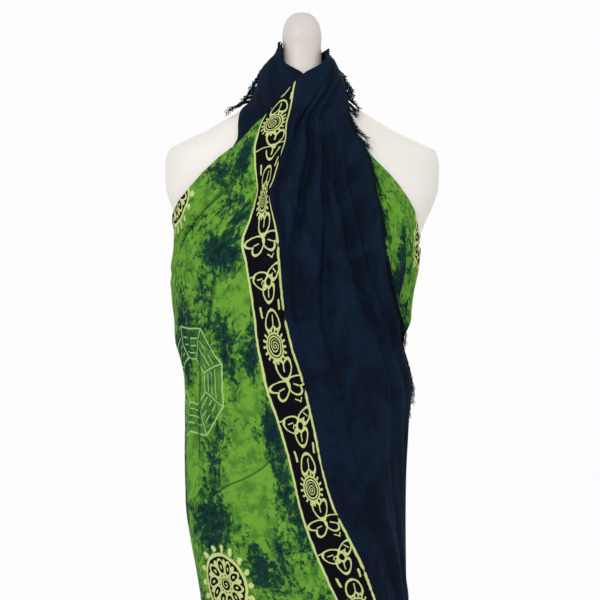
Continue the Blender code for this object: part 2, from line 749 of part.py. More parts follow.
def make_stand():
    top = BASE_THICKNESS
    base = ((BASE_RADIUS, 0.0), (BASE_RADIUS, top - BASE_EDGE), (BASE_RADIUS - BASE_EDGE, top))
    turned_piece("stand_base", base, 48, STEEL_COLOUR, STEEL_ROUGHNESS, 1.0)

    foot = top + SEAM_GAP
    bore = POLE_RADIUS + SEAM_GAP
    rise = foot + COLLAR_HEIGHT
    collar = (
        (bore, foot),
        (COLLAR_RADIUS, foot),
        (COLLAR_RADIUS, rise - 0.008),
        (COLLAR_RADIUS - 0.006, rise),
        (bore, rise),
        (bore, foot),
    )
    turned_piece("stand_collar", collar, 24, STEEL_COLOUR, STEEL_ROUGHNESS, 1.0)

    under_form = FORM_BOTTOM - SEAM_GAP
    pole = ((POLE_RADIUS, foot), (POLE_RADIUS, under_form))
    turned_piece("stand_pole", pole, 24, STEEL_COLOUR, STEEL_ROUGHNESS, 1.0)

    socket = (
        (bore, under_form - SOCKET_HEIGHT),
        (SOCKET_RADIUS - 0.004, under_form - SOCKET_HEIGHT),
        (SOCKET_RADIUS, under_form - SOCKET_HEIGHT + 0.004),
        (SOCKET_RADIUS, under_form),
        (bore, under_form),
        (bore, under_form - SOCKET_HEIGHT),
    )
    turned_piece("form_socket", socket, 24, STEEL_COLOUR, STEEL_ROUGHNESS, 1.0)


def make_panels(left_seam, right_seam):
    """The three stretches of cloth that go round the form."""
    over_stops = (left_seam, band_outer, band_inner, CLOTH_LENGTH)
    under_stops = (0.0, CORNER_TO_NECK, 2 * CORNER_TO_NECK, right_seam)
    over_grid = over.grid(spaced(over_stops, OVER_COLUMNS))
    under_grid = under.grid(spaced(under_stops, UNDER_COLUMNS))
    back_grid = back.grid(spaced((right_seam, left_seam), (BACK_COLUMNS,)))
    trim_side(over_grid, 0, 1)
    trim_side(under_grid, -1, -1)
    trim_side(back_grid, 0, 1)
    trim_side(back_grid, -1, -1)
    add_wall("over_front", over_grid, GREEN_COLOUR, (0,))
    add_wall("under_front", under_grid, GREEN_COLOUR, (-1,))
    add_wall("back_panel", back_grid, GREEN_COLOUR, (0, -1))
    return over_grid, under_grid


def strap_grid(edges, side, base_step):
    """Outer face of a gathered strap between its upper and its lower edge."""
    at = np.linspace(0, 1, len(edges))
    upper_angle = smooth_curve(at, [edge[0][0] for edge in edges])
    upper_height = smooth_curve(at, [edge[0][1] for edge in edges])
    lower_angle = smooth_curve(at, [edge[1][0] for edge in edges])
    lower_height = smooth_curve(at, [edge[1][1] for edge in edges])
    along = np.linspace(0, 1, STRAP_SECTIONS + 1)[None, :]
    across = np.linspace(0, 1, STRAP_CELLS + 1)[:, None]
    angle = upper_angle(along) + (lower_angle(along) - upper_angle(along)) * across
    height = upper_height(along) + (lower_height(along) - upper_height(along)) * across
    turn = np.radians(angle)
    wave = 0.5 - 0.5 * np.cos(2 * math.pi * STRAP_FOLDS * across)
    growth = np.clip(along * FOLD_GROWTH, FOLD_START, 1)
    fold = STRAP_LIFT + STRAP_FOLD_HEIGHT * wave * growth
    radius = drape_radius(turn, height) + base_step + fold
    points = ring_points(turn, height, radius)
    return points if side > 0 else points[:, ::-1]


def make_straps():
    add_wall("over_strap", strap_grid(OVER_STRAP, 1, LAYER_STEP), CLOTH_COLOUR)
    add_wall("under_strap", strap_grid(UNDER_STRAP, -1, 0.0), CLOTH_COLOUR)


def make_knot():
    """The knot: a rounded body with a slight twist, closed by a point at each end."""
    bm = bmesh.new()
    centre = np.array(KNOT_CENTRE)
    half = np.array(KNOT_HALF)
    rings = []
    for k in range(1, KNOT_RINGS):
        tilt = math.pi * k / KNOT_RINGS
        turn = 2 * math.pi * np.arange(KNOT_SIDES) / KNOT_SIDES
        way = np.stack([
            np.full_like(turn, -math.cos(tilt)),
            math.sin(tilt) * np.cos(turn),
            math.sin(tilt) * np.sin(turn),
        ], axis=-1)
        size = (np.abs(way) ** KNOT_POWER).sum(axis=-1) ** (-1 / KNOT_POWER)
        twist = 1 + KNOT_TWIST * (np.cos(KNOT_LOBES * turn + KNOT_WINDING * tilt) - 1) * math.sin(tilt)
        points = centre + half * way * (size * twist)[:, None]
        rings.append([bm.verts.new(point) for point in points])
    for first, second in zip(rings, rings[1:]):
        for k in range(KNOT_SIDES):
            n = (k + 1) % KNOT_SIDES
            bm.faces.new((first[k], first[n], second[n], second[k]))
    ends = (bm.verts.new(centre - (half[0], 0, 0)), bm.verts.new(centre + (half[0], 0, 0)))
    for k in range(KNOT_SIDES):
        n = (k + 1) % KNOT_SIDES
        bm.faces.new((ends[0], rings[0][n], rings[0][k]))
        bm.faces.new((ends[1], rings[-1][k], rings[-1][n]))
    bmesh.ops.recalc_face_normals(bm, faces=bm.faces)
    return add_object("knot", bm, CLOTH_COLOUR)


def make_tail(name, side):
    """A tail of the knot: a fluted wall that flares down over the back."""
    lean, half_width = column_curves(TAIL_SECTIONS)
    down = np.linspace(0, 1, TAIL_ROWS + 1)[:, None]
    across = np.linspace(-1, 1, TAIL_COLUMNS + 1)[None, :]
    height = TAIL_TOP - TAIL_DROP * down * (1 - TAIL_SKEW * across * side)
    centre = np.radians(180 + side * lean(down))
    radius = drape_radius(centre, height)
    turn = centre + half_width(down) * across / radius
    flute = TAIL_FOLD * down * np.cos(TAIL_FLUTES * math.pi * across)
    radius = drape_radius(turn, height) + TAIL_LIFT + flute
    return add_wall(name, ring_points(turn, height, radius), CLOTH_COLOUR)


def unit(vectors):
    return vectors / np.linalg.norm(vectors, axis=-1, keepdims=True)


class Edge:
    """An edge of the cloth with the directions a fringe needs, read by length along it."""

    def __init__(self, edge, neighbour):
        tangent = unit(np.gradient(edge, axis=0))
        away = edge - neighbour
        away = unit(away - (away * tangent).sum(axis=-1, keepdims=True) * tangent)
        normal = np.cross(tangent, away)
        outward = (normal[:, :2] * edge[:, :2]).sum(axis=-1)
        normal *= np.sign(outward)[:, None]
        self.length = path_lengths(edge)
        self.total = self.length[-1]
        self.rows = np.concatenate([edge - normal * WALL / 2, tangent, away, normal], axis=1)

    def at(self, length):
        row = [np.interp(length, self.length, column) for column in self.rows.T]
        values = np.array(row).reshape(4, 3)
        return values[0], unit(values[1]), unit(values[2]), unit(values[3])


def lifted(point, extra):
    """Move a point out until it is clear of the cloth or the form under it."""
    turn = math.atan2(point[0], -point[1])
    height = point[2]
    clear = np.interp(height, *zip(*STRAND_CLEARANCE)) + extra
    needed = float(drape_radius(turn, height)) + clear
    radius = math.hypot(point[0], point[1])
    if radius < needed:
        point = np.array([point[0] * needed / radius, point[1] * needed / radius, height])
    return point


def strand_rings(root, tangent, away, normal, spread, lengths, stagger):
    """Rings of four points along one strand, after its root on the strip."""
    radial = unit(np.array([root[0], root[1], 0.0]))
    side = unit(away * (1 - spread) + radial * spread)
    down = unit(tangent + np.array([0.0, 0.0, -1.0]))
    ways = [unit(side * out + down * fall) for out, fall in STRAND_WAYS]
    rings = []
    centre = root
    previous = centre
    for way, length, share in zip(ways, lengths, STRAND_TAPER):
        centre = lifted(centre + way * length + normal * stagger, stagger)
        course = unit(centre - previous)
        face = unit(normal - course * (normal @ course))
        width = np.cross(face, course)
        width *= np.sign(width @ (tangent - course * (tangent @ course)))
        half = STRAND_WIDTH / 2 * share
        thick = STRIP_THICKNESS / 2 * share
        corners = ((-1, -1), (1, -1), (1, 1), (-1, 1))
        rings.append([centre + width * half * i + face * thick * j for i, j in corners])
        previous = centre
    return rings


def make_fringe(name, edge, first, last, pitch, spread):
    """A strip parted from the cloth's edge, with tapered strands fused to its outer side."""
    bm = bmesh.new()
    count = int((last - first) / pitch)
    middles = [first + (k + 0.5) * (last - first) / count for k in range(count)]
    strands = {}
    cuts = [first, last]
    for number, middle in enumerate(middles):
        strands[middle - STRAND_WIDTH / 2] = number
        cuts += [middle - STRAND_WIDTH / 2, middle + STRAND_WIDTH / 2]
    for corner in edge.length:
        nearest = min(abs(corner - middle) for middle in middles)
        if first < corner < last and nearest > STRAND_WIDTH / 2 + 0.0003:
            cuts.append(corner)
    cuts.sort()
    sections = []
    for cut in cuts:
        root, tangent, away, normal = edge.at(cut)
        near = root + away * SEAM_GAP
        far = near + away * STRIP_WIDTH
        half = normal * STRIP_THICKNESS / 2
        corners = (near - half, far - half, far + half, near + half)
        sections.append([bm.verts.new(corner) for corner in corners])
    bm.faces.new(sections[0])
    bm.faces.new(list(reversed(sections[-1])))
    for here, there, start, end in zip(sections, sections[1:], cuts, cuts[1:]):
        for i in (0, 2, 3):
            n = (i + 1) % 4
            bm.faces.new((here[i], there[i], there[n], here[n]))
        if start not in strands:
            bm.faces.new((here[1], there[1], there[2], here[2]))
            continue
        root, tangent, away, normal = edge.at((start + end) / 2)
        root = root + away * (SEAM_GAP + STRIP_WIDTH)
        number = strands[start]
        second = STRAND_SHARES[1] + STRAND_WAVE[0] * math.sin(STRAND_WAVE[1] * number)
        lengths = (FRINGE_LENGTH * STRAND_SHARES[0], FRINGE_LENGTH * second)
        stagger = STRAND_STAGGER * (number % 2)
        ring = (here[1], there[1], there[2], here[2])
        for points in strand_rings(root, tangent, away, normal, spread, lengths, stagger):
            following = [bm.verts.new(point) for point in points]
            for i in range(4):
                n = (i + 1) % 4
                bm.faces.new((ring[i], ring[n], following[n], following[i]))
            ring = following
        bm.faces.new(ring)
    bmesh.ops.recalc_face_normals(bm, faces=bm.faces)
    return add_object(name, bm, CLOTH_COLOUR)


def make_fringes(over_grid, under_grid):
    over_edge = Edge(over_grid[:, -1], over_grid[:, -2])
    under_edge = Edge(under_grid[:, 0], under_grid[:, 1])
    over_end = over_edge.total - FRINGE_INSET
    make_fringe("fringe_over", over_edge, FRINGE_INSET, over_end, OVER_STRAND_PITCH, OVER_SPREAD)
    make_fringe("fringe_under", under_edge, FRINGE_INSET, UNDER_FRINGE_DROP, UNDER_STRAND_PITCH, UNDER_SPREAD)


def build():
    for piece in list(bpy.data.objects):
        bpy.data.objects.remove(piece)
    left_seam, right_seam = settle_stretches()
    make_form()
    make_stand()
    over_grid, under_grid = make_panels(left_seam, right_seam)
    make_straps()
    make_knot()
    make_tail("tail_left", 1)
    make_tail("tail_right", -1)
    make_fringes(over_grid, under_grid)


build()
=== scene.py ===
"""The looks of a batik sarong tied as a halter dress on a limbless torso form.

The cloth is one rectangle, dyed navy at both short ends and green between them, with a black
printed band where they meet. A point of the cloth has a place along the length, from the corner
of the under end (0) to the corner of the over end (1.6), and a depth below the top edge. Both are
kept as the pieces' UV map, in metres, and the whole print is drawn from them.
"""
import math

import bmesh
import bpy
import numpy as np
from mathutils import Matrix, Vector


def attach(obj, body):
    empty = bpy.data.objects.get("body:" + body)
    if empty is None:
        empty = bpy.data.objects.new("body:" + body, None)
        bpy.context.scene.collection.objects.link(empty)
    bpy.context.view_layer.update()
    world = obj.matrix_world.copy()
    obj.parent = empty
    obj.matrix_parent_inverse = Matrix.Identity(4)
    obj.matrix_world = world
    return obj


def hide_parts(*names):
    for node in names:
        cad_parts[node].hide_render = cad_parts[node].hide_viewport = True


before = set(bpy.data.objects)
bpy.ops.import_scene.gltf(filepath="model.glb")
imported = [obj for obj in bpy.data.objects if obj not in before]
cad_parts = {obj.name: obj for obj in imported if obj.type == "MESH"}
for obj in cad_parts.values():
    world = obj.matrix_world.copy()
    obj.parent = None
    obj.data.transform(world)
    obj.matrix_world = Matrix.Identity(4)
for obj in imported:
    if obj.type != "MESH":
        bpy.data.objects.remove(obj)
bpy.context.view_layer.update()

# The rectangle as it was cut
CLOTH_LENGTH = 1.60
CLOTH_WIDTH = 1.10
NAVY_END = 0.265
BAND_WIDTH = 0.054
CORNER_TO_NECK = 0.18
FRINGE_LENGTH = 0.045

# The cloth's thickness and how its layers lie
THICKNESS = 0.0009
LAYER_STEP = 0.0044
ROUNDING = 0.0030
SOFT_FLOOR = 0.0010
OVER_DIP = 0.0014
# Behind, the back stretch rises to the over layer: angle where that starts, and its span
BACK_STEP_START = 125
BACK_STEP_SPAN = 110
UV_NAME = "cloth"
# How much brighter the studio light shows the cloth than its own colour
STUDIO_GAIN = 1.3

# How squarely the form's sections turn: 2 is an ellipse
SECTION_POWER = 2.4

# The form's sections: height, half width, depth to the front, depth to the back
FORM_SECTIONS = (
    (1.5800, 0.0020, 0.0020, 0.0020),
    (1.5772, 0.0120, 0.0120, 0.0120),
    (1.5700, 0.0205, 0.0205, 0.0205),
    (1.5600, 0.0255, 0.0255, 0.0255),
    (1.5450, 0.0278, 0.0278, 0.0278),
    (1.5300, 0.0268, 0.0268, 0.0270),
    (1.5150, 0.0270, 0.0270, 0.0278),
    (1.5000, 0.0290, 0.0285, 0.0305),
    (1.4850, 0.0340, 0.0320, 0.0360),
    (1.4700, 0.0430, 0.0375, 0.0450),
    (1.4550, 0.0620, 0.0450, 0.0550),
    (1.4400, 0.0880, 0.0530, 0.0650),
    (1.4250, 0.1130, 0.0610, 0.0740),
    (1.4100, 0.1400, 0.0670, 0.0810),
    (1.3970, 0.1680, 0.0720, 0.0850),
    (1.3850, 0.1870, 0.0780, 0.0880),
    (1.3650, 0.1915, 0.0860, 0.0910),
    (1.3350, 0.1905, 0.0950, 0.0930),
    (1.3050, 0.1815, 0.1050, 0.0940),
    (1.2860, 0.1725, 0.1100, 0.0940),
    (1.2500, 0.1585, 0.1160, 0.0940),
    (1.2100, 0.1480, 0.1210, 0.0930),
    (1.1700, 0.1380, 0.1160, 0.0910),
    (1.1200, 0.1250, 0.1020, 0.0870),
    (1.0600, 0.1150, 0.0900, 0.0830),
    (1.0000, 0.1160, 0.0880, 0.0860),
    (0.9400, 0.1210, 0.0900, 0.0930),
    (0.8700, 0.1240, 0.0920, 0.0990),
    (0.8060, 0.1240, 0.0920, 0.1000),
    (0.8000, 0.1190, 0.0870, 0.0950),
)

# Clearance of the cloth's outer face over the form, more where the form turns sharply
FORM_CLEARANCE = (
    (1.550, 0.0030),
    (1.470, 0.0036),
    (1.440, 0.0052),
    (1.280, 0.0050),
    (1.220, 0.0030),
    (0.800, 0.0030),
)

# The cloth's hanging outline: height, reach to the left, to the right, to the front, to the back
HANG_SECTIONS = (
    (1.550, 0.028, 0.028, 0.028, 0.028),
    (1.534, 0.030, 0.029, 0.029, 0.031),
    (1.521, 0.038, 0.031, 0.032, 0.036),
    (1.512, 0.047, 0.041, 0.035, 0.041),
    (1.500, 0.055, 0.047, 0.038, 0.046),
    (1.487, 0.060, 0.052, 0.041, 0.050),
    (1.458, 0.070, 0.063, 0.050, 0.059),
    (1.440, 0.080, 0.075, 0.056, 0.067),
    (1.390, 0.100, 0.100, 0.080, 0.084),
    (1.330, 0.150, 0.145, 0.098, 0.095),
    (1.286, 0.173, 0.160, 0.113, 0.097),
    (1.250, 0.174, 0.162, 0.123, 0.098),
    (1.230, 0.1765, 0.1610, 0.1270, 0.0985),
    (1.212, 0.1770, 0.1585, 0.1290, 0.0990),
    (1.177, 0.1745, 0.1520, 0.1290, 0.0990),
    (1.149, 0.1705, 0.1490, 0.1275, 0.0990),
    (1.120, 0.1690, 0.1385, 0.1255, 0.0995),
    (1.100, 0.1640, 0.1400, 0.1245, 0.1000),
    (1.065, 0.1580, 0.1440, 0.1230, 0.1010),
    (1.000, 0.1575, 0.1365, 0.1210, 0.1030),
    (0.953, 0.1575, 0.1330, 0.1200, 0.1050),
    (0.897, 0.1565, 0.1320, 0.1190, 0.1070),
    (0.844, 0.1495, 0.1325, 0.1180, 0.1080),
    (0.790, 0.1385, 0.1335, 0.1170, 0.1080),
    (0.757, 0.1330, 0.1370, 0.1170, 0.1080),
    (0.650, 0.1290, 0.1370, 0.1170, 0.1090),
    (0.450, 0.1310, 0.1380, 0.1190, 0.1120),
    (0.140, 0.1400, 0.1440, 0.1250, 0.1200),
)

# Top edges: angle round the form from the front in degrees, towards the wearer's left, and height
OVER_TOP = (
    (-110, 1.283),
    (-81, 1.286),
    (-66, 1.321),
    (-58, 1.356),
    (-48, 1.394),
    (-43, 1.419),
    (-22, 1.464),
    (3, 1.489),
    (34, 1.503),
    (48, 1.513),
    (58, 1.522),
)
UNDER_TOP = (
    (110, 1.243),
    (90, 1.247),
    (73, 1.269),
    (66, 1.293),
    (61, 1.317),
    (56, 1.345),
    (51, 1.366),
    (46, 1.390),
    (38, 1.420),
    (28, 1.450),
    (15, 1.475),
    (1, 1.490),
    (-18, 1.498),
    (-36, 1.506),
    (-49, 1.520),
    (-60, 1.535),
)
BACK_TOP = (
    (110, 1.243),
    (145, 1.236),
    (180, 1.238),
    (215, 1.255),
    (250, 1.283),
)

# Where the gathered corner meets the neck: angle and height of its upper and of its lower end
OVER_GATHER = ((58, 1.522), (108, 1.509))
UNDER_GATHER = ((-60, 1.535), (-112, 1.516))

# Lines of the print on the form: height, and the angle of each line in degrees
OVER_LINES = (
    (1.522, -110, -44, -20, 108),
    (1.512, -110, -44, -20, 107),
    (1.502, -110, -44, -20, 105),
    (1.489, -110, -44, -20, 93),
    (1.464, -110, -43, -21, 68),
    (1.439, -110, -42, -20, 50),
    (1.419, -110, -42.6, -20, 44.5),
    (1.392, -110, -41, -17.5, 44.8),
    (1.356, -110, -37.3, -20, 45),
    (1.331, -110, -32.6, -22, 44.2),
    (1.311, -110, -30.3, -20.5, 44.5),
    (1.282, -110, -32.2, -16.5, 45),
    (1.257, -110, -34.7, -13.8, 44.8),
    (1.222, -110, -31.0, -12.3, 46.5),
    (1.167, -110, -27.6, -10.2, 54),
    (1.119, -110, -25.9, -6.2, 66),
    (1.065, -110, -22.0, 1.5, 77),
    (1.002, -109, -13.4, 8.0, 86),
    (0.942, -108, -6.3, 13.6, 91),
    (0.902, -107, -2.4, 19.0, 94),
    (0.863, -106, 3.1, 27.2, 97),
    (0.808, -105, 13.6, 38.9, 100),
    (0.759, -104, 23.5, 45.9, 102),
    (0.650, -103, 33.0, 54.0, 105),
    (0.450, -102, 41.0, 61.0, 108),
    (0.050, -102, 45.0, 65.0, 109),
)
UNDER_LINES = (
    (1.535, -112, -30, 110),
    (1.517, -111, -8, 110),
    (1.500, -106, 6, 110),
    (1.478, -98, 14, 110),
    (1.457, -87, 18, 110),
    (1.443, -71, 20, 110),
    (1.420, -58, 21, 110),
    (1.391, -51, 21, 110),
    (1.330, -55, 22, 110),
    (1.250, -66, 20, 110),
    (1.150, -78, 14, 110),
    (1.050, -84, 7, 110),
    (0.900, -88, -5, 110),
    (0.760, -90, -16, 110),
    (0.500, -92, -24, 110),
    (0.050, -92, -27, 110),
)
# The back lies between the two seams
BACK_LINES = tuple((row[0], 110, row[1] + 360) for row in OVER_LINES)

# Heights at which each fold's place and height are stated
FOLD_LEVELS = (1.52, 1.42, 1.33, 1.21, 1.12, 0.95, 0.76, 0.30)

# Share of each fold's height that is left near the neck, where the folds are packed close
NECK_TAPER = (
    (1.540, 0.10),
    (1.510, 0.15),
    (1.490, 0.35),
    (1.460, 0.75),
    (1.420, 1.00),
)

# How far the cloth stands out before its folds, in millimetres at the fold levels: the place on
# the cloth, then a height at each level
OVER_FULLNESS = (
    (0.974, (0, 0, 0, 0, 0, 0, 0, 0)),
    (1.030, (0, 0, 1, 1, 1, 3, 5, 8)),
    (1.281, (0, 1, 2, 2, 2, 3, 5, 8)),
    (1.335, (0.5, 3, 5, 5, 3, 4, 6, 9)),
    (1.375, (1.5, 8, 12, 12, 9, 7, 8, 10)),
    (1.575, (1.5, 8, 13, 12, 9, 8, 8, 10)),
    (1.600, (1.0, 4, 5, 5, 5, 5, 6, 8)),
)
UNDER_FULLNESS = (
    (0.000, (1.0, 1, 0, 0, 0, 0, 0, 0)),
    (0.180, (1.0, 1, 0, 0, 0, 0, 0, 0)),
    (0.360, (0, 0, 0, 0, 0, 0, 0, 0)),
    (0.480, (0, 0, 0, 1, 0, 0, 0, 0)),
    (0.530, (0, 0, 1, 3, 2, 0, 0, 0)),
    (0.590, (0, 0, 0, 3, 2, 0, 2, 4)),
    (0.645, (0, 0, 0, 0, 0, 0, 0, 0)),
)
BACK_FULLNESS = (
    (0.646, (0, 0, 0, 0, 0, 0, 0, 0)),
    (0.680, (0, 0, 4, 6, 6, 7, 8, 11)),
    (0.940, (0, 0, 4, 6, 6, 7, 8, 11)),
    (0.974, (0, 0, 0, 0, 0, 0, 0, 0)),
)

# Folds: place on the cloth at each level, height in millimetres at each level, half width
OVER_FOLDS = (
    ((1.438, 1.395, 1.369, 1.340, 1.336, 1.34, 1.35, 1.36), (-1, -7, -8, -3, 0, 0, -3, -7), 0.012),
    ((1.470, 1.448, 1.426, 1.353, 1.346, 1.35, 1.37, 1.40), (-1, -8, -12, -11, -7, -4, -5, -8), 0.013),
    ((1.502, 1.497, 1.486, 1.446, 1.417, 1.41, 1.42, 1.44), (-1, -8, -13, -13, -10, -7, -6, -8), 0.014),
    ((1.536, 1.528, 1.518, 1.518, 1.528, 1.49, 1.48, 1.49), (-1, -8, -12, -11, -9, -7, -6, -8), 0.013),
    ((1.566, 1.557, 1.550, 1.557, 1.562, 1.55, 1.54, 1.54), (-1, -7, -10, -9, -7, -7, -6, -8), 0.011),
    ((1.300, 1.300, 1.300, 1.300, 1.30, 1.29, 1.28, 1.28), (0, 0, -2, -2, -1, -2, -4, -8), 0.024),
    ((1.245, 1.225, 1.200, 1.140, 1.13, 1.20, 1.20, 1.20), (0, 0, -1, -1, -1, -1, -4, -8), 0.026),
    ((1.160, 1.150, 1.140, 1.110, 1.10, 1.11, 1.12, 1.12), (0, 0, 0, 0, 2, -2, -4, -8), 0.028),
    ((1.085, 1.080, 1.075, 1.065, 1.055, 1.05, 1.05, 1.05), (0, 0, 0, 0, 2, -2, -4, -8), 0.020),
)
UNDER_FOLDS = (
    ((0.040, 0.045, 0.05, 0.06, 0.06, 0.06, 0.06, 0.06), (-1, -1, -2, -3, -4, -6, -6, -8), 0.012),
    ((0.085, 0.095, 0.10, 0.13, 0.14, 0.14, 0.14, 0.14), (-1, -1, -2, -3, -4, -6, -6, -8), 0.014),
    ((0.130, 0.150, 0.17, 0.21, 0.22, 0.22, 0.22, 0.22), (-1, -1, -2, -3, -4, -6, -6, -8), 0.018),
    ((0.300, 0.300, 0.30, 0.31, 0.31, 0.31, 0.31, 0.31), (0, 0, -2, -3, -4, -6, -7, -9), 0.020),
    ((0.410, 0.410, 0.42, 0.43, 0.42, 0.41, 0.41, 0.41), (0, 0, -4, -8, -7, -6, -7, -9), 0.013),
    ((0.460, 0.460, 0.47, 0.475, 0.47, 0.48, 0.48, 0.48), (0, 0, -4, -10, -9, -6, -6, -8), 0.012),
    ((0.510, 0.510, 0.52, 0.525, 0.52, 0.54, 0.55, 0.55), (0, 0, -3, -10, -9, -5, -6, -8), 0.012),
    ((0.560, 0.560, 0.56, 0.570, 0.57, 0.59, 0.60, 0.60), (0, 0, -2, -6, -4, -3, -3, -4), 0.011),
)
BACK_FOLDS = (
    ((0.700, 0.700, 0.70, 0.700, 0.695, 0.695, 0.695, 0.69), (0, 0, -4, -6, -6, -7, -8, -10), 0.011),
    ((0.740, 0.740, 0.74, 0.745, 0.750, 0.745, 0.740, 0.74), (0, 0, -4, -6, -7, -8, -8, -11), 0.011),
    ((0.785, 0.785, 0.79, 0.790, 0.795, 0.790, 0.785, 0.78), (0, 0, -4, -7, -7, -7, -8, -10), 0.012),
    ((0.830, 0.830, 0.83, 0.830, 0.830, 0.835, 0.835, 0.83), (0, 0, -4, -6, -6, -7, -8, -11), 0.010),
    ((0.870, 0.870, 0.87, 0.875, 0.875, 0.875, 0.880, 0.88), (0, 0, -4, -6, -7, -8, -8, -10), 0.011),
    ((0.915, 0.915, 0.915, 0.92, 0.920, 0.925, 0.930, 0.93), (0, 0, -4, -6, -6, -7, -8, -10), 0.011),
)

# Creases: points (place, depth) along each, depth of the trough in millimetres, half width in mm
OVER_CREASES = (
    (
        (
            (1.275, 0.078), (1.235, 0.058), (1.191, 0.056), (1.152, 0.072), (1.120, 0.085),
            (1.05, 0.075),
        ),
        6.0, 6.0,
    ),
    (((1.300, 0.100), (1.255, 0.088), (1.205, 0.090), (1.160, 0.115)), 2.6, 6.0),
    (((1.130, 0.200), (1.120, 0.260), (1.112, 0.330), (1.105, 0.400)), 3.4, 6.0),
    (((1.086, 0.150), (1.096, 0.190), (1.090, 0.235), (1.070, 0.280)), 3.4, 7.0),
    (((1.175, 0.110), (1.160, 0.180), (1.150, 0.270)), 2.2, 7.0),
    (((1.235, 0.140), (1.222, 0.220), (1.205, 0.330), (1.200, 0.420)), 1.8, 8.0),
    (((1.268, 0.200), (1.262, 0.300), (1.258, 0.420)), 0.8, 7.0),
    (((1.270, 0.480), (1.240, 0.580), (1.225, 0.720), (1.222, 0.900)), 1.6, 10.0),
    (((1.160, 0.440), (1.158, 0.560), (1.165, 0.720), (1.165, 0.950)), 1.8, 10.0),
    (((1.085, 0.360), (1.080, 0.480), (1.085, 0.640), (1.080, 0.900)), 1.8, 9.0),
    (((1.010, 0.030), (1.020, 0.120), (1.030, 0.260)), 1.6, 8.0),
    (((1.325, 0.060), (1.322, 0.110), (1.326, 0.180), (1.330, 0.230)), 2.4, 5.0),
    (((1.400, 0.075), (1.372, 0.125), (1.352, 0.200), (1.345, 0.260)), 2.4, 5.0),
    (((1.425, 0.060), (1.412, 0.140), (1.396, 0.230), (1.385, 0.330), (1.385, 0.430)), 2.6, 6.0),
    (((1.460, 0.075), (1.462, 0.160), (1.460, 0.250), (1.452, 0.370)), 2.2, 5.0),
    (((1.487, 0.100), (1.483, 0.200), (1.478, 0.330), (1.470, 0.470)), 2.2, 6.0),
    (((1.520, 0.120), (1.512, 0.210), (1.500, 0.320), (1.488, 0.450)), 1.9, 5.0),
    (((1.548, 0.150), (1.540, 0.250), (1.538, 0.360)), 1.8, 5.0),
    (((1.582, 0.190), (1.577, 0.300), (1.576, 0.430), (1.570, 0.560)), 1.8, 5.0),
    (((1.450, 0.420), (1.455, 0.560), (1.462, 0.760), (1.465, 1.000)), 2.0, 9.0),
    (((1.520, 0.500), (1.515, 0.640), (1.512, 0.820), (1.512, 1.050)), 2.0, 9.0),
    (((1.375, 0.480), (1.380, 0.600), (1.392, 0.800), (1.396, 1.000)), 1.8, 8.0),
    (((1.325, 0.560), (1.322, 0.700), (1.325, 0.900)), 1.4, 8.0),
)
UNDER_CREASES = (
    (((0.055, 0.130), (0.040, 0.190), (0.030, 0.260)), 1.4, 4.0),
    (((0.085, 0.100), (0.078, 0.180), (0.070, 0.260)), 1.5, 4.0),
    (((0.125, 0.060), (0.120, 0.130), (0.115, 0.220)), 1.4, 4.5),
    (((0.160, 0.020), (0.165, 0.090), (0.165, 0.160)), 1.2, 4.0),
    (((0.205, 0.010), (0.215, 0.050), (0.225, 0.110)), 1.0, 5.0),
    (((0.395, 0.035), (0.420, 0.090), (0.440, 0.150)), 2.2, 4.5),
    (((0.440, 0.040), (0.460, 0.085), (0.482, 0.135)), 2.0, 4.0),
    (((0.475, 0.100), (0.500, 0.150), (0.505, 0.215)), 2.6, 5.0),
    (((0.545, 0.090), (0.553, 0.140), (0.548, 0.200)), 2.2, 5.0),
    (((0.600, 0.060), (0.598, 0.120), (0.590, 0.190), (0.600, 0.280)), 2.0, 6.0),
    (((0.560, 0.300), (0.568, 0.420), (0.572, 0.600)), 1.6, 8.0),
    (((0.620, 0.260), (0.622, 0.420), (0.626, 0.700)), 1.6, 8.0),
)
BACK_CREASES = (
    (((0.670, 0.020), (0.672, 0.130), (0.670, 0.260)), 1.8, 6.0),
    (((0.720, 0.020), (0.722, 0.110), (0.724, 0.230)), 2.0, 5.0),
    (((0.763, 0.015), (0.764, 0.120), (0.768, 0.300)), 2.2, 5.5),
    (((0.808, 0.020), (0.806, 0.090), (0.808, 0.190)), 2.0, 5.0),
    (((0.850, 0.015), (0.852, 0.140), (0.853, 0.320)), 2.2, 5.5),
    (((0.893, 0.020), (0.896, 0.100), (0.898, 0.240)), 2.0, 5.0),
    (((0.945, 0.020), (0.948, 0.140), (0.950, 0.300)), 1.8, 6.0),
    (((0.765, 0.360), (0.760, 0.520), (0.762, 0.760), (0.760, 1.000)), 2.4, 8.0),
    (((0.855, 0.380), (0.858, 0.560), (0.862, 0.820), (0.862, 1.040)), 2.4, 8.0),
    (((0.720, 0.420), (0.718, 0.560), (0.715, 0.760)), 2.0, 7.0),
    (((0.900, 0.400), (0.902, 0.600), (0.905, 0.860)), 2.0, 7.0),
)

# Mesh counts: columns of each stretch, rows of the close upper part and of the long lower part
CLOSE_DEPTH = 0.42
OVER_COLUMNS = (98, 16, 84)
UNDER_COLUMNS = (34, 34, 104)
BACK_COLUMNS = 110
FORM_ROWS = 320
FORM_COLUMNS = 240
CLOSE_ROWS = 112
LONG_ROWS = 112
PATH_STEPS = 260
LOWEST = 0.04
TANGENT_STEP = 0.02
RELAX_DROP = 0.110
SEAM_FADE = 0.02

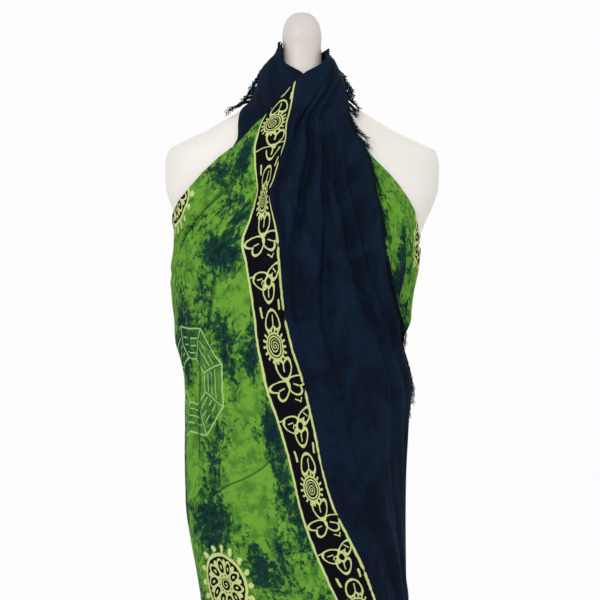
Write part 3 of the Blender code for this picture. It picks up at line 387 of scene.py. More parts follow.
# The stretch behind the neck: angles and heights of a strap's upper and lower edge
OVER_STRAP = (
    ((58, 1.5236), (107.4, 1.5111)),
    ((80, 1.5280), (120, 1.5070)),
    ((106, 1.5305), (132, 1.4995)),
    ((128, 1.5288), (141, 1.4925)),
    ((148, 1.5254), (149, 1.4880)),
)
UNDER_STRAP = (
    ((-60, 1.5365), (-112, 1.5180)),
    ((-86, 1.5375), (-120, 1.5160)),
    ((-112, 1.5370), (-130, 1.5075)),
    ((-133, 1.5328), (-139, 1.4975)),
    ((-148, 1.5284), (-149, 1.4910)),
)
STRAP_SECTIONS = 72
STRAP_CELLS = 84
STRAP_LIFT = 0.0012
STRAP_FLAT_LENGTH = 0.085
FOLD_START = 0.35
FOLD_GROWTH = 4

# Folds of a gathered strap: how many round it, height, phase
STRAP_FOLDS = (
    (3, 0.00070, 0.5),
    (9, 0.00150, 0.2),
)

# The knot behind the neck and its two tails
KNOT_CENTRE = (0.0, 0.0424, 1.508)
KNOT_HALF = (0.0242, 0.0125, 0.0175)
KNOT_POWER = 3.0
KNOT_RINGS = 96
KNOT_SIDES = 128
KNOT_INSET = 0.0005
KNOT_WINDING = 1.6
KNOT_SHRINK = 0.055
# Pleats round the knot: how many, and their height
BROAD_PLEATS = (2.5, 0.030)
FINE_PLEATS = (7, 0.016)
TAIL_TOP = 1.4925
TAIL_DROP = 0.064
TAIL_SKEW = 0.12
TAIL_ROWS = 70
TAIL_COLUMNS = 70
TAIL_LIFT = 0.0032
TAIL_FOLD = 0.0025
TAIL_FLUTES = 1.5
FINE_FLUTES = 5.2
FINE_FLUTE_DRIFT = 1.3
FINE_FLUTE_HEIGHT = 0.0007

# A tail from the knot down: share of its drop, angle from the back, half width, in degrees and m
TAIL_SECTIONS = (
    (0.00, 7.5, 0.0055),
    (0.25, 11.0, 0.0080),
    (0.60, 15.0, 0.0140),
    (1.00, 18.5, 0.0190),
)


def smooth_curve(places, values):
    """Return a smooth function through the given values that never overshoots them."""
    order = np.argsort(places)
    x = np.array(places, float)[order]
    y = np.array(values, float)[order]
    step = np.diff(x)
    slope = np.diff(y) / step
    before = slope[:-1]
    after = slope[1:]
    same_way = before * after > 0
    total = np.where(same_way, before + after, 1.0)
    tangent = np.zeros_like(y)
    tangent[1:-1] = np.where(same_way, 2 * before * after / total, 0.0)
    tangent[0] = slope[0]
    tangent[-1] = slope[-1]

    def value(at):
        at = np.clip(np.asarray(at, float), x[0], x[-1])
        i = np.clip(np.searchsorted(x, at) - 1, 0, len(step) - 1)
        u = (at - x[i]) / step[i]
        start = (2 * u**3 - 3 * u**2 + 1) * y[i] + (u**3 - 2 * u**2 + u) * step[i] * tangent[i]
        end = (3 * u**2 - 2 * u**3) * y[i + 1] + (u**3 - u**2) * step[i] * tangent[i + 1]
        return start + end

    return value


def column_curves(table):
    """Return one smooth function of the first column for each of the others."""
    columns = list(zip(*table))
    return [smooth_curve(columns[0], column) for column in columns[1:]]


form_width, form_front, form_back = column_curves(FORM_SECTIONS)
(neck_taper,) = column_curves(NECK_TAPER)
(form_clearance,) = column_curves(FORM_CLEARANCE)
hang_left, hang_right, hang_front, hang_back = column_curves(HANG_SECTIONS)


def section_radius(angle, half_width, depth):
    """Radius of a rounded section at an angle from the front."""
    across = (np.abs(np.sin(angle)) / half_width) ** SECTION_POWER
    along = (np.abs(np.cos(angle)) / depth) ** SECTION_POWER
    return (across + along) ** (-1 / SECTION_POWER)


def form_radius(angle, height):
    depth = np.where(np.cos(angle) >= 0, form_front(height), form_back(height))
    return section_radius(angle, form_width(height), depth)


def drape_radius(angle, height):
    """Radius of the undermost cloth's face: over the form where it is full, hanging elsewhere."""
    width = np.where(np.sin(angle) >= 0, hang_right(height), hang_left(height))
    depth = np.where(np.cos(angle) >= 0, hang_front(height), hang_back(height))
    hanging = section_radius(angle, width, depth)
    resting = form_radius(angle, height) + form_clearance(height)
    return 0.5 * (hanging + resting + np.sqrt((hanging - resting) ** 2 + ROUNDING**2))


def ring_points(angle, height, radius):
    return np.stack([radius * np.sin(angle), -radius * np.cos(angle), height], axis=-1)


def path_lengths(points):
    """Lengths along the first axis of a grid of points, starting at zero."""
    steps = np.linalg.norm(np.diff(points, axis=0), axis=-1)
    return np.concatenate([np.zeros_like(steps[:1]), np.cumsum(steps, axis=0)])


def blend_rows(rows, places, heights):
    """Read a table of (place, values at the fold levels) at the given places and heights."""
    row_places = np.array([row[0] for row in rows])
    curves = [smooth_curve(FOLD_LEVELS, row[1]) for row in rows]
    values = np.stack([curve(heights) for curve in curves])
    last = len(rows) - 2
    i = np.clip(np.searchsorted(row_places, places) - 1, 0, last)
    share = (places - row_places[i]) / (row_places[i + 1] - row_places[i])
    share = np.clip(share, 0, 1)
    share = share * share * (3 - 2 * share)
    lower = np.take_along_axis(values, i[None], axis=0)[0]
    upper = np.take_along_axis(values, i[None] + 1, axis=0)[0]
    return lower + (upper - lower) * share


# Points along a crease, the share of its lips' height, and how far out the lips lie
CREASE_STEPS = 60
LIP_SHARE = 0.40
LIP_OUT = 1.9


def crease_relief(creases, places, depths):
    """Height of the creases: soft troughs between lips that fade out at both ends."""
    total = np.zeros_like(places)
    for number, (points, trough, half_width) in enumerate(creases):
        known = np.linspace(0, 1, len(points))
        along = np.linspace(0, 1, CREASE_STEPS)
        path_place = smooth_curve(known, [point[0] for point in points])(along)
        path_depth = smooth_curve(known, [point[1] for point in points])(along)
        reach = 4 * half_width / 1000
        near = (places > path_place.min() - reach) & (places < path_place.max() + reach)
        near &= (depths > path_depth.min() - reach) & (depths < path_depth.max() + reach)
        place_gap = places[near][:, None] - path_place
        depth_gap = depths[near][:, None] - path_depth
        away = np.hypot(place_gap, depth_gap)
        nearest = away.argmin(axis=1)
        away = away.min(axis=1) / (half_width / 1000)
        lean = 0.35 + 0.3 * (0.5 + 0.5 * math.sin(2.1 * number))
        share = along[nearest] ** (math.log(0.5) / math.log(lean))
        size = trough / 1000 * np.sin(math.pi * share) ** 0.8
        profile = -np.exp(-away**2) + LIP_SHARE * np.exp(-((away - LIP_OUT) ** 2))
        total[near] += size * profile
    return total


# Slight unevenness of the hanging cloth: number of waves, longest wave and height of the longest
RIPPLE_WAVES = 26
RIPPLE_LONGEST = 0.110
RIPPLE_HEIGHT = 0.00040
ripple_random = np.random.default_rng(7)
RIPPLE_TURNS = ripple_random.uniform(-0.5, 0.5, RIPPLE_WAVES)
RIPPLE_PHASES = ripple_random.uniform(0, 2 * math.pi, RIPPLE_WAVES)


def ripple_relief(places, depths):
    """Height of many faint waves, mostly running down the cloth."""
    total = np.zeros_like(places)
    for k in range(RIPPLE_WAVES):
        share = 1 - 0.85 * k / RIPPLE_WAVES
        length = RIPPLE_LONGEST * share
        turn = RIPPLE_TURNS[k]
        distance = places * math.cos(turn) + depths * math.sin(turn) * 0.6
        total += RIPPLE_HEIGHT * share * np.sin(2 * math.pi * distance / length + RIPPLE_PHASES[k])
    return total


class Stretch:
    """One stretch of the cloth round the form."""

    def __init__(self, top, gather, gather_place, way, lines, fullness, folds, creases, steps_out):
        self.top = top
        self.gather = gather
        self.gather_place = gather_place
        self.way = way
        self.lines = lines
        self.fullness = fullness
        self.folds = folds
        self.creases = creases
        self.steps_out = steps_out
        self.line_places = ()

    def base_step(self, angle):
        """Height over the undermost cloth, which grows along the angle where the layers part."""
        start, end = self.steps_out
        share = np.clip((np.degrees(angle) - BACK_STEP_START) / BACK_STEP_SPAN, 0, 1)
        share = share * share * (3 - 2 * share)
        return start + (end - start) * share

    def measure_top(self):
        """Find angle and height of the top edge for each place on the cloth."""
        angles, heights = zip(*self.top)
        curve = smooth_curve(angles, heights)
        angle = np.linspace(angles[-1], angles[0], PATH_STEPS)
        height = curve(angle)
        turn = np.radians(angle)
        radius = drape_radius(turn, height) + self.base_step(turn)
        length = path_lengths(ring_points(turn, height, radius))
        self.top_places = self.gather_place + self.way * length
        self.top_angles = angle
        self.top_heights = height

    def rescale_top(self, first, last):
        """Spread the top edge between two places, where its folds take up the spare cloth."""
        length = np.abs(self.top_places - self.top_places[-1])
        self.top_places = first + (last - first) * length / length[0]

    def top_at(self, places):
        """Angle, height and depth on the cloth where each column of it starts."""
        order = np.argsort(self.top_places)
        known = self.top_places[order]
        angle = np.interp(places, known, self.top_angles[order])
        height = np.interp(places, known, self.top_heights[order])
        depth = np.zeros_like(places)
        if self.gather:
            past = -self.way * (places - self.gather_place)
            gathered = past > 0
            share = np.clip(past / CORNER_TO_NECK, 0, 1)
            upper, lower = self.gather
            angle = np.where(gathered, upper[0] + (lower[0] - upper[0]) * share, angle)
            height = np.where(gathered, upper[1] + (lower[1] - upper[1]) * share, height)
            depth = np.where(gathered, past, depth)
        return angle, height, depth

    def line_angle(self, places, heights):
        """Angle of the thread at each place of the cloth, between the lines of the print."""
        curves = column_curves(self.lines)
        angles = np.stack([curve(heights) for curve in curves])
        known = np.array(self.line_places)
        i = np.clip(np.searchsorted(known, places) - 1, 0, len(known) - 2)
        share = (places - known[i]) / (known[i + 1] - known[i])
        lower = np.take_along_axis(angles, i[None], axis=0)[0]
        upper = np.take_along_axis(angles, i[None] + 1, axis=0)[0]
        return lower + (upper - lower) * share

    def fold_height(self, places, heights, depths):
        """Height of the folds, creases and ripples over the plain drape."""
        total = blend_rows(self.fullness, places, heights)
        for fold_places, fold_heights, half_width in self.folds:
            centre = smooth_curve(FOLD_LEVELS, fold_places)(heights)
            size = smooth_curve(FOLD_LEVELS, fold_heights)(heights)
            total = total + size * np.exp(-(((places - centre) / half_width) ** 2))
        fine = crease_relief(self.creases, places, depths) + ripple_relief(places, depths)
        seam_gap = np.minimum(np.abs(places - left_seam), np.abs(places - right_seam))
        fine *= np.clip(seam_gap / SEAM_FADE, 0, 1)
        return (total / 1000 + fine) * np.clip(neck_taper(heights), 0, 1)

    def face_points(self, places, angles, heights, depths):
        """Points of the cloth's outer face."""
        turn = np.radians(angles)
        floor = self.base_step(turn)
        base = drape_radius(turn, heights)
        fold = self.fold_height(places, heights, depths)
        if min(self.steps_out) > 0 or self.way == 0:
            dip = OVER_DIP * floor / LAYER_STEP
            fold = 0.5 * (fold + dip + np.sqrt((fold + dip) ** 2 + SOFT_FLOOR**2) - SOFT_FLOOR) - dip
        else:
            room = base - form_radius(turn, heights) - form_clearance(heights)
            fold = np.where(fold < 0, -room * np.tanh(-fold / np.maximum(room, 1e-5)), fold)
        return ring_points(turn, heights, base + floor + fold)

    def grid(self, places):
        """Outer face of the stretch and its cloth coordinates, rows of depth by columns of place."""
        top_angle, top_height, top_depth = self.top_at(places)
        share = np.linspace(0, 1, PATH_STEPS)[:, None]
        heights = top_height + (LOWEST - top_height) * share
        wide = np.broadcast_to(places, heights.shape)
        start = self.line_angle(places[None], top_height[None])[0]
        fall = np.clip((top_height - heights) / RELAX_DROP, 0, 1)
        relax = 0.5 + 0.5 * np.cos(math.pi * fall)
        angles = self.line_angle(wide, heights) + (top_angle - start) * relax
        turn = np.radians(angles)
        radius = drape_radius(turn, heights) + self.base_step(turn)
        length = path_lengths(ring_points(turn, heights, radius))
        depths = np.stack([row_depths(depth) for depth in top_depth], axis=1)
        row_heights = np.empty_like(depths)
        row_angles = np.empty_like(depths)
        for i in range(len(places)):
            below = depths[:, i] - top_depth[i]
            row_heights[:, i] = np.interp(below, length[:, i], heights[:, i])
            row_angles[:, i] = np.interp(below, length[:, i], angles[:, i])
        wide = np.broadcast_to(places, depths.shape)
        points = self.face_points(wide, row_angles, row_heights, depths)
        return points, np.stack([wide, depths], axis=-1)


def row_depths(top_depth):
    """Depths on the cloth of the rows of a column that starts at a given depth."""
    turn = top_depth + CLOSE_DEPTH
    upper = np.linspace(top_depth, turn, CLOSE_ROWS + 1)
    lower = np.linspace(turn, CLOTH_WIDTH, LONG_ROWS + 1)
    return np.concatenate([upper, lower[1:]])


def spaced(stops, counts):
    """Places along the cloth from stop to stop, each span evenly divided."""
    places = [stops[0]]
    for start, end, count in zip(stops, stops[1:], counts):
        places.extend(start + (end - start) * (k + 1) / count for k in range(count))
    return np.array(places)


band_inner = CLOTH_LENGTH - NAVY_END
band_outer = band_inner - BAND_WIDTH

over = Stretch(OVER_TOP, OVER_GATHER, CLOTH_LENGTH - CORNER_TO_NECK, -1, OVER_LINES,
               OVER_FULLNESS, OVER_FOLDS, OVER_CREASES, (LAYER_STEP, LAYER_STEP))
under = Stretch(UNDER_TOP, UNDER_GATHER, CORNER_TO_NECK, 1, UNDER_LINES,
                UNDER_FULLNESS, UNDER_FOLDS, UNDER_CREASES, (0.0, 0.0))
back = Stretch(BACK_TOP, (), 0.0, 0, BACK_LINES,
               BACK_FULLNESS, BACK_FOLDS, BACK_CREASES, (0.0, LAYER_STEP))

over.measure_top()
under.measure_top()
left_seam = over.top_places.min()
right_seam = under.top_places.max()
over.line_places = (left_seam, band_outer, band_inner, CLOTH_LENGTH)
under.line_places = (0.0, NAVY_END + BAND_WIDTH / 2, right_seam)
back.way = 1
back.measure_top()
back.way = 0
back.rescale_top(right_seam, left_seam)
back.line_places = (right_seam, left_seam)


def unit(vectors):
    return vectors / np.linalg.norm(vectors, axis=-1, keepdims=True)


def drape_tangent(points):
    """Direction round the plain drape at points near it."""
    turn = np.arctan2(points[:, 0], -points[:, 1])
    height = points[:, 2]
    ahead = ring_points(turn + TANGENT_STEP, height, drape_radius(turn + TANGENT_STEP, height))
    behind = ring_points(turn - TANGENT_STEP, height, drape_radius(turn - TANGENT_STEP, height))
    return ahead - behind


def wall_normals(points, seam_columns):
    """Outward normals of a grid of points whose rows go down and whose columns turn left."""
    down = np.gradient(points, axis=0)
    across = np.gradient(points, axis=1)
    for column in seam_columns:
        across[:, column] = drape_tangent(points[:, column])
    return unit(np.cross(down, across))


def add_mesh(name, points, faces, material, cloth_places=None):
    """Make a smooth object of numpy points and four-cornered faces, with its cloth map."""
    mesh = bpy.data.meshes.new(name)
    mesh.vertices.add(len(points))
    mesh.vertices.foreach_set("co", points.astype(np.float32).ravel())
    mesh.loops.add(faces.size)
    mesh.loops.foreach_set("vertex_index", faces.astype(np.int32).ravel())
    mesh.polygons.add(len(faces))
    mesh.polygons.foreach_set("loop_start", np.arange(0, faces.size, 4, dtype=np.int32))
    mesh.update(calc_edges=True)
    if cloth_places is not None:
        layer = mesh.uv_layers.new(name=UV_NAME)
        layer.data.foreach_set("uv", cloth_places[faces.ravel()].astype(np.float32).ravel())
    mesh.shade_smooth()
    mesh.validate()
    mesh.materials.append(material)
    piece = bpy.data.objects.new(name, mesh)
    bpy.context.scene.collection.objects.link(piece)
    return piece


def add_cloth(name, points, places, material, seam_columns=()):
    """Make a closed thin shell of cloth under a grid of outer points."""
    rows, columns = points.shape[:2]
    inner = points - THICKNESS * wall_normals(points, seam_columns)
    number = np.arange(rows * columns).reshape(rows, columns)
    a = number[:-1, :-1].ravel()
    b = number[1:, :-1].ravel()
    c = number[1:, 1:].ravel()
    d = number[:-1, 1:].ravel()
    outside = np.stack([a, b, c, d], axis=1)
    inside = np.stack([a, d, c, b], axis=1) + rows * columns
    rim = np.concatenate([number[0, :-1], number[:-1, -1], number[-1, :0:-1], number[:0:-1, 0]])
    following = np.roll(rim, -1)
    edge = np.stack([rim, following, following + rows * columns, rim + rows * columns], axis=1)
    faces = np.concatenate([outside, inside, edge])
    both = np.concatenate([points.reshape(-1, 3), inner.reshape(-1, 3)])
    flat = places.reshape(-1, 2)
    return add_mesh(name, both, faces, material, np.concatenate([flat, flat]))


class Flow:
    """An output of a shader node. Arithmetic on it adds Math nodes."""

    def __init__(self, finish, socket):
        self.finish = finish
        self.socket = socket

    def math(self, operation, *values):
        return self.finish.node("ShaderNodeMath", {"operation": operation}, values)

    def __add__(self, other):
        return self.math("ADD", self, other)

    __radd__ = __add__

    def __sub__(self, other):
        return self.math("SUBTRACT", self, other)

    def __rsub__(self, other):
        return self.math("SUBTRACT", other, self)

    def __mul__(self, other):
        return self.math("MULTIPLY", self, other)

    __rmul__ = __mul__

    def __truediv__(self, other):
        return self.math("DIVIDE", self, other)

    def __mod__(self, other):
        return self.math("FLOORED_MODULO", self, other)

    def __abs__(self):
        return self.math("ABSOLUTE", self)


class Finish:
    """A material whose node tree is written as expressions."""

    def __init__(self, name, roughness, metallic=0.0, **constants):
        self.material = bpy.data.materials.new(name)
        self.material.use_nodes = True
        self.tree = self.material.node_tree
        self.shader = self.tree.nodes["Principled BSDF"]
        self.shader.inputs["Roughness"].default_value = roughness
        self.shader.inputs["Metallic"].default_value = metallic
        for name, value in constants.items():
            self.shader.inputs[name.replace("_", " ")].default_value = value

    def node(self, kind, settings=None, inputs=(), output=0):
        """Add a node: its settings first, then the values or links of its sockets."""
        made = self.tree.nodes.new(kind)
        for key, value in (settings or {}).items():
            setattr(made, key, value)
        pairs = inputs.items() if isinstance(inputs, dict) else enumerate(inputs)
        for key, value in pairs:
            if isinstance(value, Flow):
                self.tree.links.new(value.socket, made.inputs[key])
            else:
                made.inputs[key].default_value = value
        return Flow(self, made.outputs[output])

    def feed(self, socket, value):
        """Link a value that changes over the surface to the shader."""
        self.tree.links.new(value.socket, self.shader.inputs[socket])

    def cloth_place(self):
        return self.node("ShaderNodeUVMap", {"uv_map": UV_NAME})

    def print_place(self):
        """Place and depth on the cloth, slanted as the printed cloth lies."""
        place, depth = self.split(self.cloth_place())
        near_end = place.math("MINIMUM", place, CLOTH_LENGTH - place)
        near_end = near_end.math("MINIMUM", near_end, SLANT_REACH)
        return self.join(place, depth + (near_end - BAND_MIDDLE) * PRINT_SLANT)

    def object_place(self):
        return self.node("ShaderNodeTexCoord", output=3)

    def split(self, vector):
        made = self.node("ShaderNodeSeparateXYZ", None, (vector,))
        return made, Flow(self, made.socket.node.outputs[1])

    def join(self, x, y):
        return self.node("ShaderNodeCombineXYZ", None, (x, y))

    def length(self, x, y):
        joined = self.join(x, y)
        return self.node("ShaderNodeVectorMath", {"operation": "LENGTH"}, (joined,), output=1)

    def size_of(self, vector):
        return self.node("ShaderNodeVectorMath", {"operation": "LENGTH"}, (vector,), output=1)

    def placed(self, vector, centre, turn=0.0, size=(1.0, 1.0)):
        """Coordinates of a motif of its own: moved, turned by degrees and sized."""
        inputs = (
            vector,
            (centre[0], centre[1], 0.0),
            (0.0, 0.0, math.radians(turn)),
            (size[0], size[1], 1.0),
        )
        return self.node("ShaderNodeMapping", {"vector_type": "TEXTURE"}, inputs)

    def noise(self, vector, scale, detail=2.0, roughness=0.5, distortion=0.0, colour=False):
        inputs = {
            "Vector": vector,
            "Scale": scale,
            "Detail": detail,
            "Roughness": roughness,
            "Distortion": distortion,
        }
        return self.node("ShaderNodeTexNoise", None, inputs, output=1 if colour else 0)

    def ramp(self, value, low, high, start=0.0, end=1.0):
        """A soft step from start to end as the value goes from low to high."""
        settings = {"interpolation_type": "SMOOTHSTEP"}
        return self.node("ShaderNodeMapRange", settings, (value, low, high, start, end))

    def mix(self, share, first, second):
        settings = {"data_type": "RGBA"}
        return self.node("ShaderNodeMix", settings, {0: share, 6: first, 7: second}, output=2)

    def shaken(self, vector, scale, reach):
        """The coordinates moved about by a noise, so that lines look drawn by hand."""
        push = self.noise(vector, scale, 1.0, colour=True)
        spread = (2 * reach, 2 * reach, 0.0)
        back = (-reach, -reach, 0.0)
        settings = {"operation": "MULTIPLY_ADD"}
        moved = self.node("ShaderNodeVectorMath", settings, (push, spread, back))
        return self.node("ShaderNodeVectorMath", {"operation": "ADD"}, (vector, moved))

    def nearest(self, distances):
        """The smallest of several distances."""
        least = distances[0]
        for distance in distances[1:]:
            least = least.math("MINIMUM", least, distance)
        return least

    def bump(self, height, distance, strength=1.0):
        inputs = {"Strength": strength, "Distance": distance, "Height": height}
        self.feed("Normal", self.node("ShaderNodeBump", None, inputs))


def shade(red, green, blue, share=1.0):
    """A colour as a screen shows it, from 0 to 255, in the linear values that the nodes take."""
    linear = []
    for part in (red, green, blue):
        part /= 255
        linear.append(share * (part / 12.92 if part <= 0.04045 else ((part + 0.055) / 1.055) ** 2.4))
    return (*linear, 1.0)


def dye(red, green, blue):
    """A cloth colour as it looks under the studio light, which brightens it."""
    return shade(red, green, blue, 1 / STUDIO_GAIN)


LIME = dye(106, 160, 54)
LEAF = dye(66, 120, 42)
MOSS = dye(36, 84, 42)
TEAL = dye(22, 58, 44)
DEEP = dye(12, 36, 42)
CREAM = dye(206, 214, 150)
PALE_LINE = dye(168, 206, 140)
BLACK = dye(8, 8, 16)
NAVY = dye(14, 30, 50)
DARK_NAVY = dye(9, 18, 33)
TEAL_NAVY = dye(10, 32, 44)

# Half width of a drawn line, how soft its edge is, and how far the hand strays
LINE = 0.0012
EDGE_SOFTNESS = 0.00045
HAND_REACH = 0.0011
HAND_SCALE = 75.0
FINE_HAND_REACH = 0.0005
FINE_HAND_SCALE = 260.0
CLOTH_SPECULAR = 0.05
STEEL_STRETCH = (1.0, 1.0, 40.0)
# How far the print runs down the cloth for each metre towards its navy end, and where that stops
PRINT_SLANT = 0.57
SLANT_REACH = 0.50

BAND_MIDDLE = NAVY_END + BAND_WIDTH / 2

# The band's repeat: its length, and where the drawn suns fall on the cloth
MOTIF_LENGTH = 0.2
FIRST_SUN = 0.350
UPPER_REPEAT = 0.197
LOWER_REPEAT = 0.174
REPEAT_CHANGE = 0.549
TUCK_DEPTH = 0.078
# Depths between which the band leans into the tuck, leaves it, and opens to its whole width
TUCK_IN = (0.045, 0.105)
TUCK_OUT = (0.128, 0.150)
BAND_OPENS = (0.05, 0.11)
CLOSED_SHARE = 0.80
DRAWN_MIDDLE = 0.2915
DRAWN_HALF = 0.026
TUCKED = 0.080
TUCK_SHIFT = 0.009
TOP_SUN = 0.042
TOP_SHIFT = 0.006
MOTIF_START = -0.028

# Hearts of the band: tip across and down, turn in degrees, length, width share.
# The first three meet as a clover, the next stands alone, three more are the flower, and the
# last is the lone heart of the repeat before, which reaches into this one.
BAND_HEARTS = (
    ((0.0019, 0.0470), 186, 0.0270, 0.80),
    ((0.0048, 0.0490), -49, 0.0235, 1.05),
    ((0.0025, 0.0520), 53, 0.0250, 0.95),
    ((0.0027, 0.1515), 3, 0.0262, 0.84),
    ((-0.0186, 0.1055), -72, 0.0205, 1.15),
    ((0.0225, 0.0930), 43, 0.0205, 0.74),
    ((0.0012, 0.1400), 187, 0.0225, 0.82),
    ((0.0027, -0.0485), 3, 0.0262, 0.84),
)
FLOWER_MIDDLE = (0.0045, 0.1130)
FLOWER_RADII = (0.0050, 0.0072)
# Single strokes of the band: middle across and down, turn, half length, half width
BAND_STROKES = (
    ((0.0032, 0.0315), 6, 0.0048, 0.0008),
    ((0.0135, 0.0580), -52, 0.0038, 0.0008),
    ((-0.0078, 0.0600), 72, 0.0036, 0.0008),
    ((0.0030, 0.1640), 8, 0.0055, 0.0008),
    ((-0.0095, 0.1075), 78, 0.0036, 0.0008),
    ((-0.0060, 0.1120), 25, 0.0028, 0.0007),
    ((0.0160, 0.1000), -32, 0.0036, 0.0008),
    ((0.0022, 0.1290), 4, 0.0042, 0.0008),
    ((0.0110, 0.0790), -48, 0.0042, 0.0008),
    ((0.0150, 0.0795), 28, 0.0028, 0.0007),
    ((-0.0140, 0.1528), -4, 0.0062, 0.0016),
    ((0.0170, 0.1470), 4, 0.0060, 0.0014),
    ((-0.0215, 0.1040), 70, 0.0030, 0.0009),
)
SUN_MIDDLE = (-0.0010, 0.0)
SUN_RADII = (0.0122, 0.0180)
SUN_RAYS = 17

# The field's motifs: places of one column of suns, and how far apart columns and rows are
FIELD_PLACE = 0.560
FIELD_COLUMN = 0.274
FIELD_DEPTH = 0.120
FIELD_SLANT = 0.0108
FIELD_ROW = 0.546
OCTAGON_SHIFT = (0.020, -0.0059)
# A column of motifs leans by this share about this depth
FIELD_LEAN = 0.032
LEAN_MIDDLE = 0.38
OCTAGON_TURN = 0.18
# The octagon, out from its middle: its outlines, the ring of bars between them, and its lines
OCTAGON_OUTER = 0.0722
OCTAGON_INNER = 0.0310
OCTAGON_MIDDLE = 0.0516
OCTAGON_HALF = 0.0206
OCTAGON_EDGE = 0.0010
OCTAGON_LINE = 0.0009
BAR_START = 0.0395
BAR_PITCH = 0.0098
BAR_MIDDLE = 0.0493
BAR_REACH = 0.0125
BAR_INSET = 0.0045
BROKEN_ABOVE = 0.45
FIELD_PETALS = 10
FIELD_NARROW = 0.86
FIELD_FLAMES = 17
# Parts of the field's round flower: how far out the middle lies, half width and half length
PETAL = (0.0240, 0.0062, 0.0105)
WEDGE = (0.0300, 0.0034, 0.0052)
FLAME = (0.0505, 0.0036, 0.0062)
PETAL_SCALE = 0.0075
PETAL_LINE = 0.0013
PETAL_HEART = 0.28
PART_SCALE = 0.004
FLAME_TEAR = 0.006
# Its disc, its rings as radius and half width, and the coil in its middle
DISC_RADIUS = 0.0415
RING = (0.0410, 0.0024)
INNER_RING = (0.0100, 0.0014)
COIL_PITCH = 0.0052
COIL_LINE = 0.0008
COIL_RADIUS = 0.0070

# Dark patches of the dye: place, depth, half width, half height, strength
DARK_PATCHES = (
    (1.258, 0.050, 0.020, 0.024, 0.26),
    (1.206, 0.030, 0.030, 0.018, 0.20),
    (1.228, 0.088, 0.016, 0.022, 0.24),
    (1.257, 0.135, 0.020, 0.018, 0.22),
    (1.220, 0.150, 0.022, 0.024, 0.26),
    (1.250, 0.185, 0.026, 0.026, 0.24),
    (1.190, 0.185, 0.020, 0.028, 0.22),
    (1.135, 0.185, 0.030, 0.024, 0.20),
    (1.105, 0.205, 0.030, 0.040, 0.20),
    (1.219, 0.300, 0.014, 0.050, 0.24),
    (1.262, 0.338, 0.013, 0.018, 0.26),
    (1.276, 0.315, 0.010, 0.045, 0.22),
    (1.268, 0.428, 0.014, 0.026, 0.26),
    (1.147, 0.392, 0.014, 0.026, 0.24),
    (1.122, 0.455, 0.030, 0.050, 0.32),
    (1.262, 0.480, 0.016, 0.050, 0.24),
    (1.184, 0.562, 0.018, 0.034, 0.28),
    (1.222, 0.575, 0.014, 0.030, 0.24),
    (1.276, 0.585, 0.012, 0.034, 0.24),
    (1.200, 0.720, 0.040, 0.050, 0.24),
    (1.090, 0.800, 0.030, 0.070, 0.24),
    (1.030, 0.360, 0.024, 0.060, 0.22),
    (0.455, 0.105, 0.012, 0.060, 0.26),
    (0.444, 0.144, 0.016, 0.022, 0.22),
    (0.497, 0.140, 0.016, 0.022, 0.26),
    (0.550, 0.147, 0.016, 0.024, 0.26),
    (0.520, 0.130, 0.016, 0.040, 0.16),
)
# Bright patches, which stay clear of the dark dye
BRIGHT_PATCHES = (
    (1.270, 0.240, 0.012, 0.040, 0.20),
    (1.205, 0.450, 0.034, 0.070, 0.26),
    (1.235, 0.120, 0.012, 0.020, 0.14),
    (1.185, 0.055, 0.040, 0.014, 0.20),
    (1.250, 0.390, 0.016, 0.024, 0.16),
    (0.430, 0.065, 0.016, 0.030, 0.16),
    (0.585, 0.100, 0.016, 0.050, 0.14),
)


def stroke(finish, vector, middle, turn, half_length, half_width):
    """Distance to a short straight stroke with round ends."""
    x, y = finish.split(finish.placed(vector, middle, turn))
    past = (abs(y) - half_length).math("MAXIMUM", abs(y) - half_length, 0.0)
    return finish.length(x, past) - half_width


def heart_line(finish, vector, tip, turn, length, width_share):
    """Distance to a heart's outline: a leaning oval, mirrored about the heart's middle."""
    x, y = finish.split(finish.placed(vector, tip, turn))
    folded = finish.join(abs(x), y)
    middle = (0.181 * length * width_share, 0.506 * length)
    size = (0.285 * length * width_share, 0.540 * length)
    oval = finish.placed(folded, middle, -20 * width_share, size)
    return abs(finish.size_of(oval) - 1) * (0.36 * length * width_share) - LINE


def sun_line(finish, vector):
    """Distance to the band's sun: two rings, a thin coil inside them and rays round them."""
    sun = finish.placed(vector, SUN_MIDDLE, 0, SUN_RADII)
    scale = 0.5 * (SUN_RADII[0] + SUN_RADII[1])
    x, y = finish.split(sun)
    out = finish.size_of(sun)
    turn = out.math("ARCTAN2", y, x)
    outer_ring = abs(out - 1.0) * scale - LINE * 0.95
    inner_ring = abs(out - 0.75) * scale - LINE * 0.80
    coil = (out / 0.24 - turn * (1 / (2 * math.pi))) % 1.0
    coil_line = abs(coil - 0.5) * (0.24 * scale) - LINE * 0.55
    coil_line = coil_line.math("MAXIMUM", coil_line, (out - 0.56) * scale)
    sector = 2 * math.pi / SUN_RAYS
    aside = ((turn / sector) % 1.0 - 0.5) * (sector * 1.28 * scale)
    along = abs(out - 1.25) * scale - 0.0014
    rays = finish.length(along.math("MAXIMUM", along, 0.0), aside) - LINE * 1.15
    return finish.nearest([outer_ring, inner_ring, coil_line, rays])


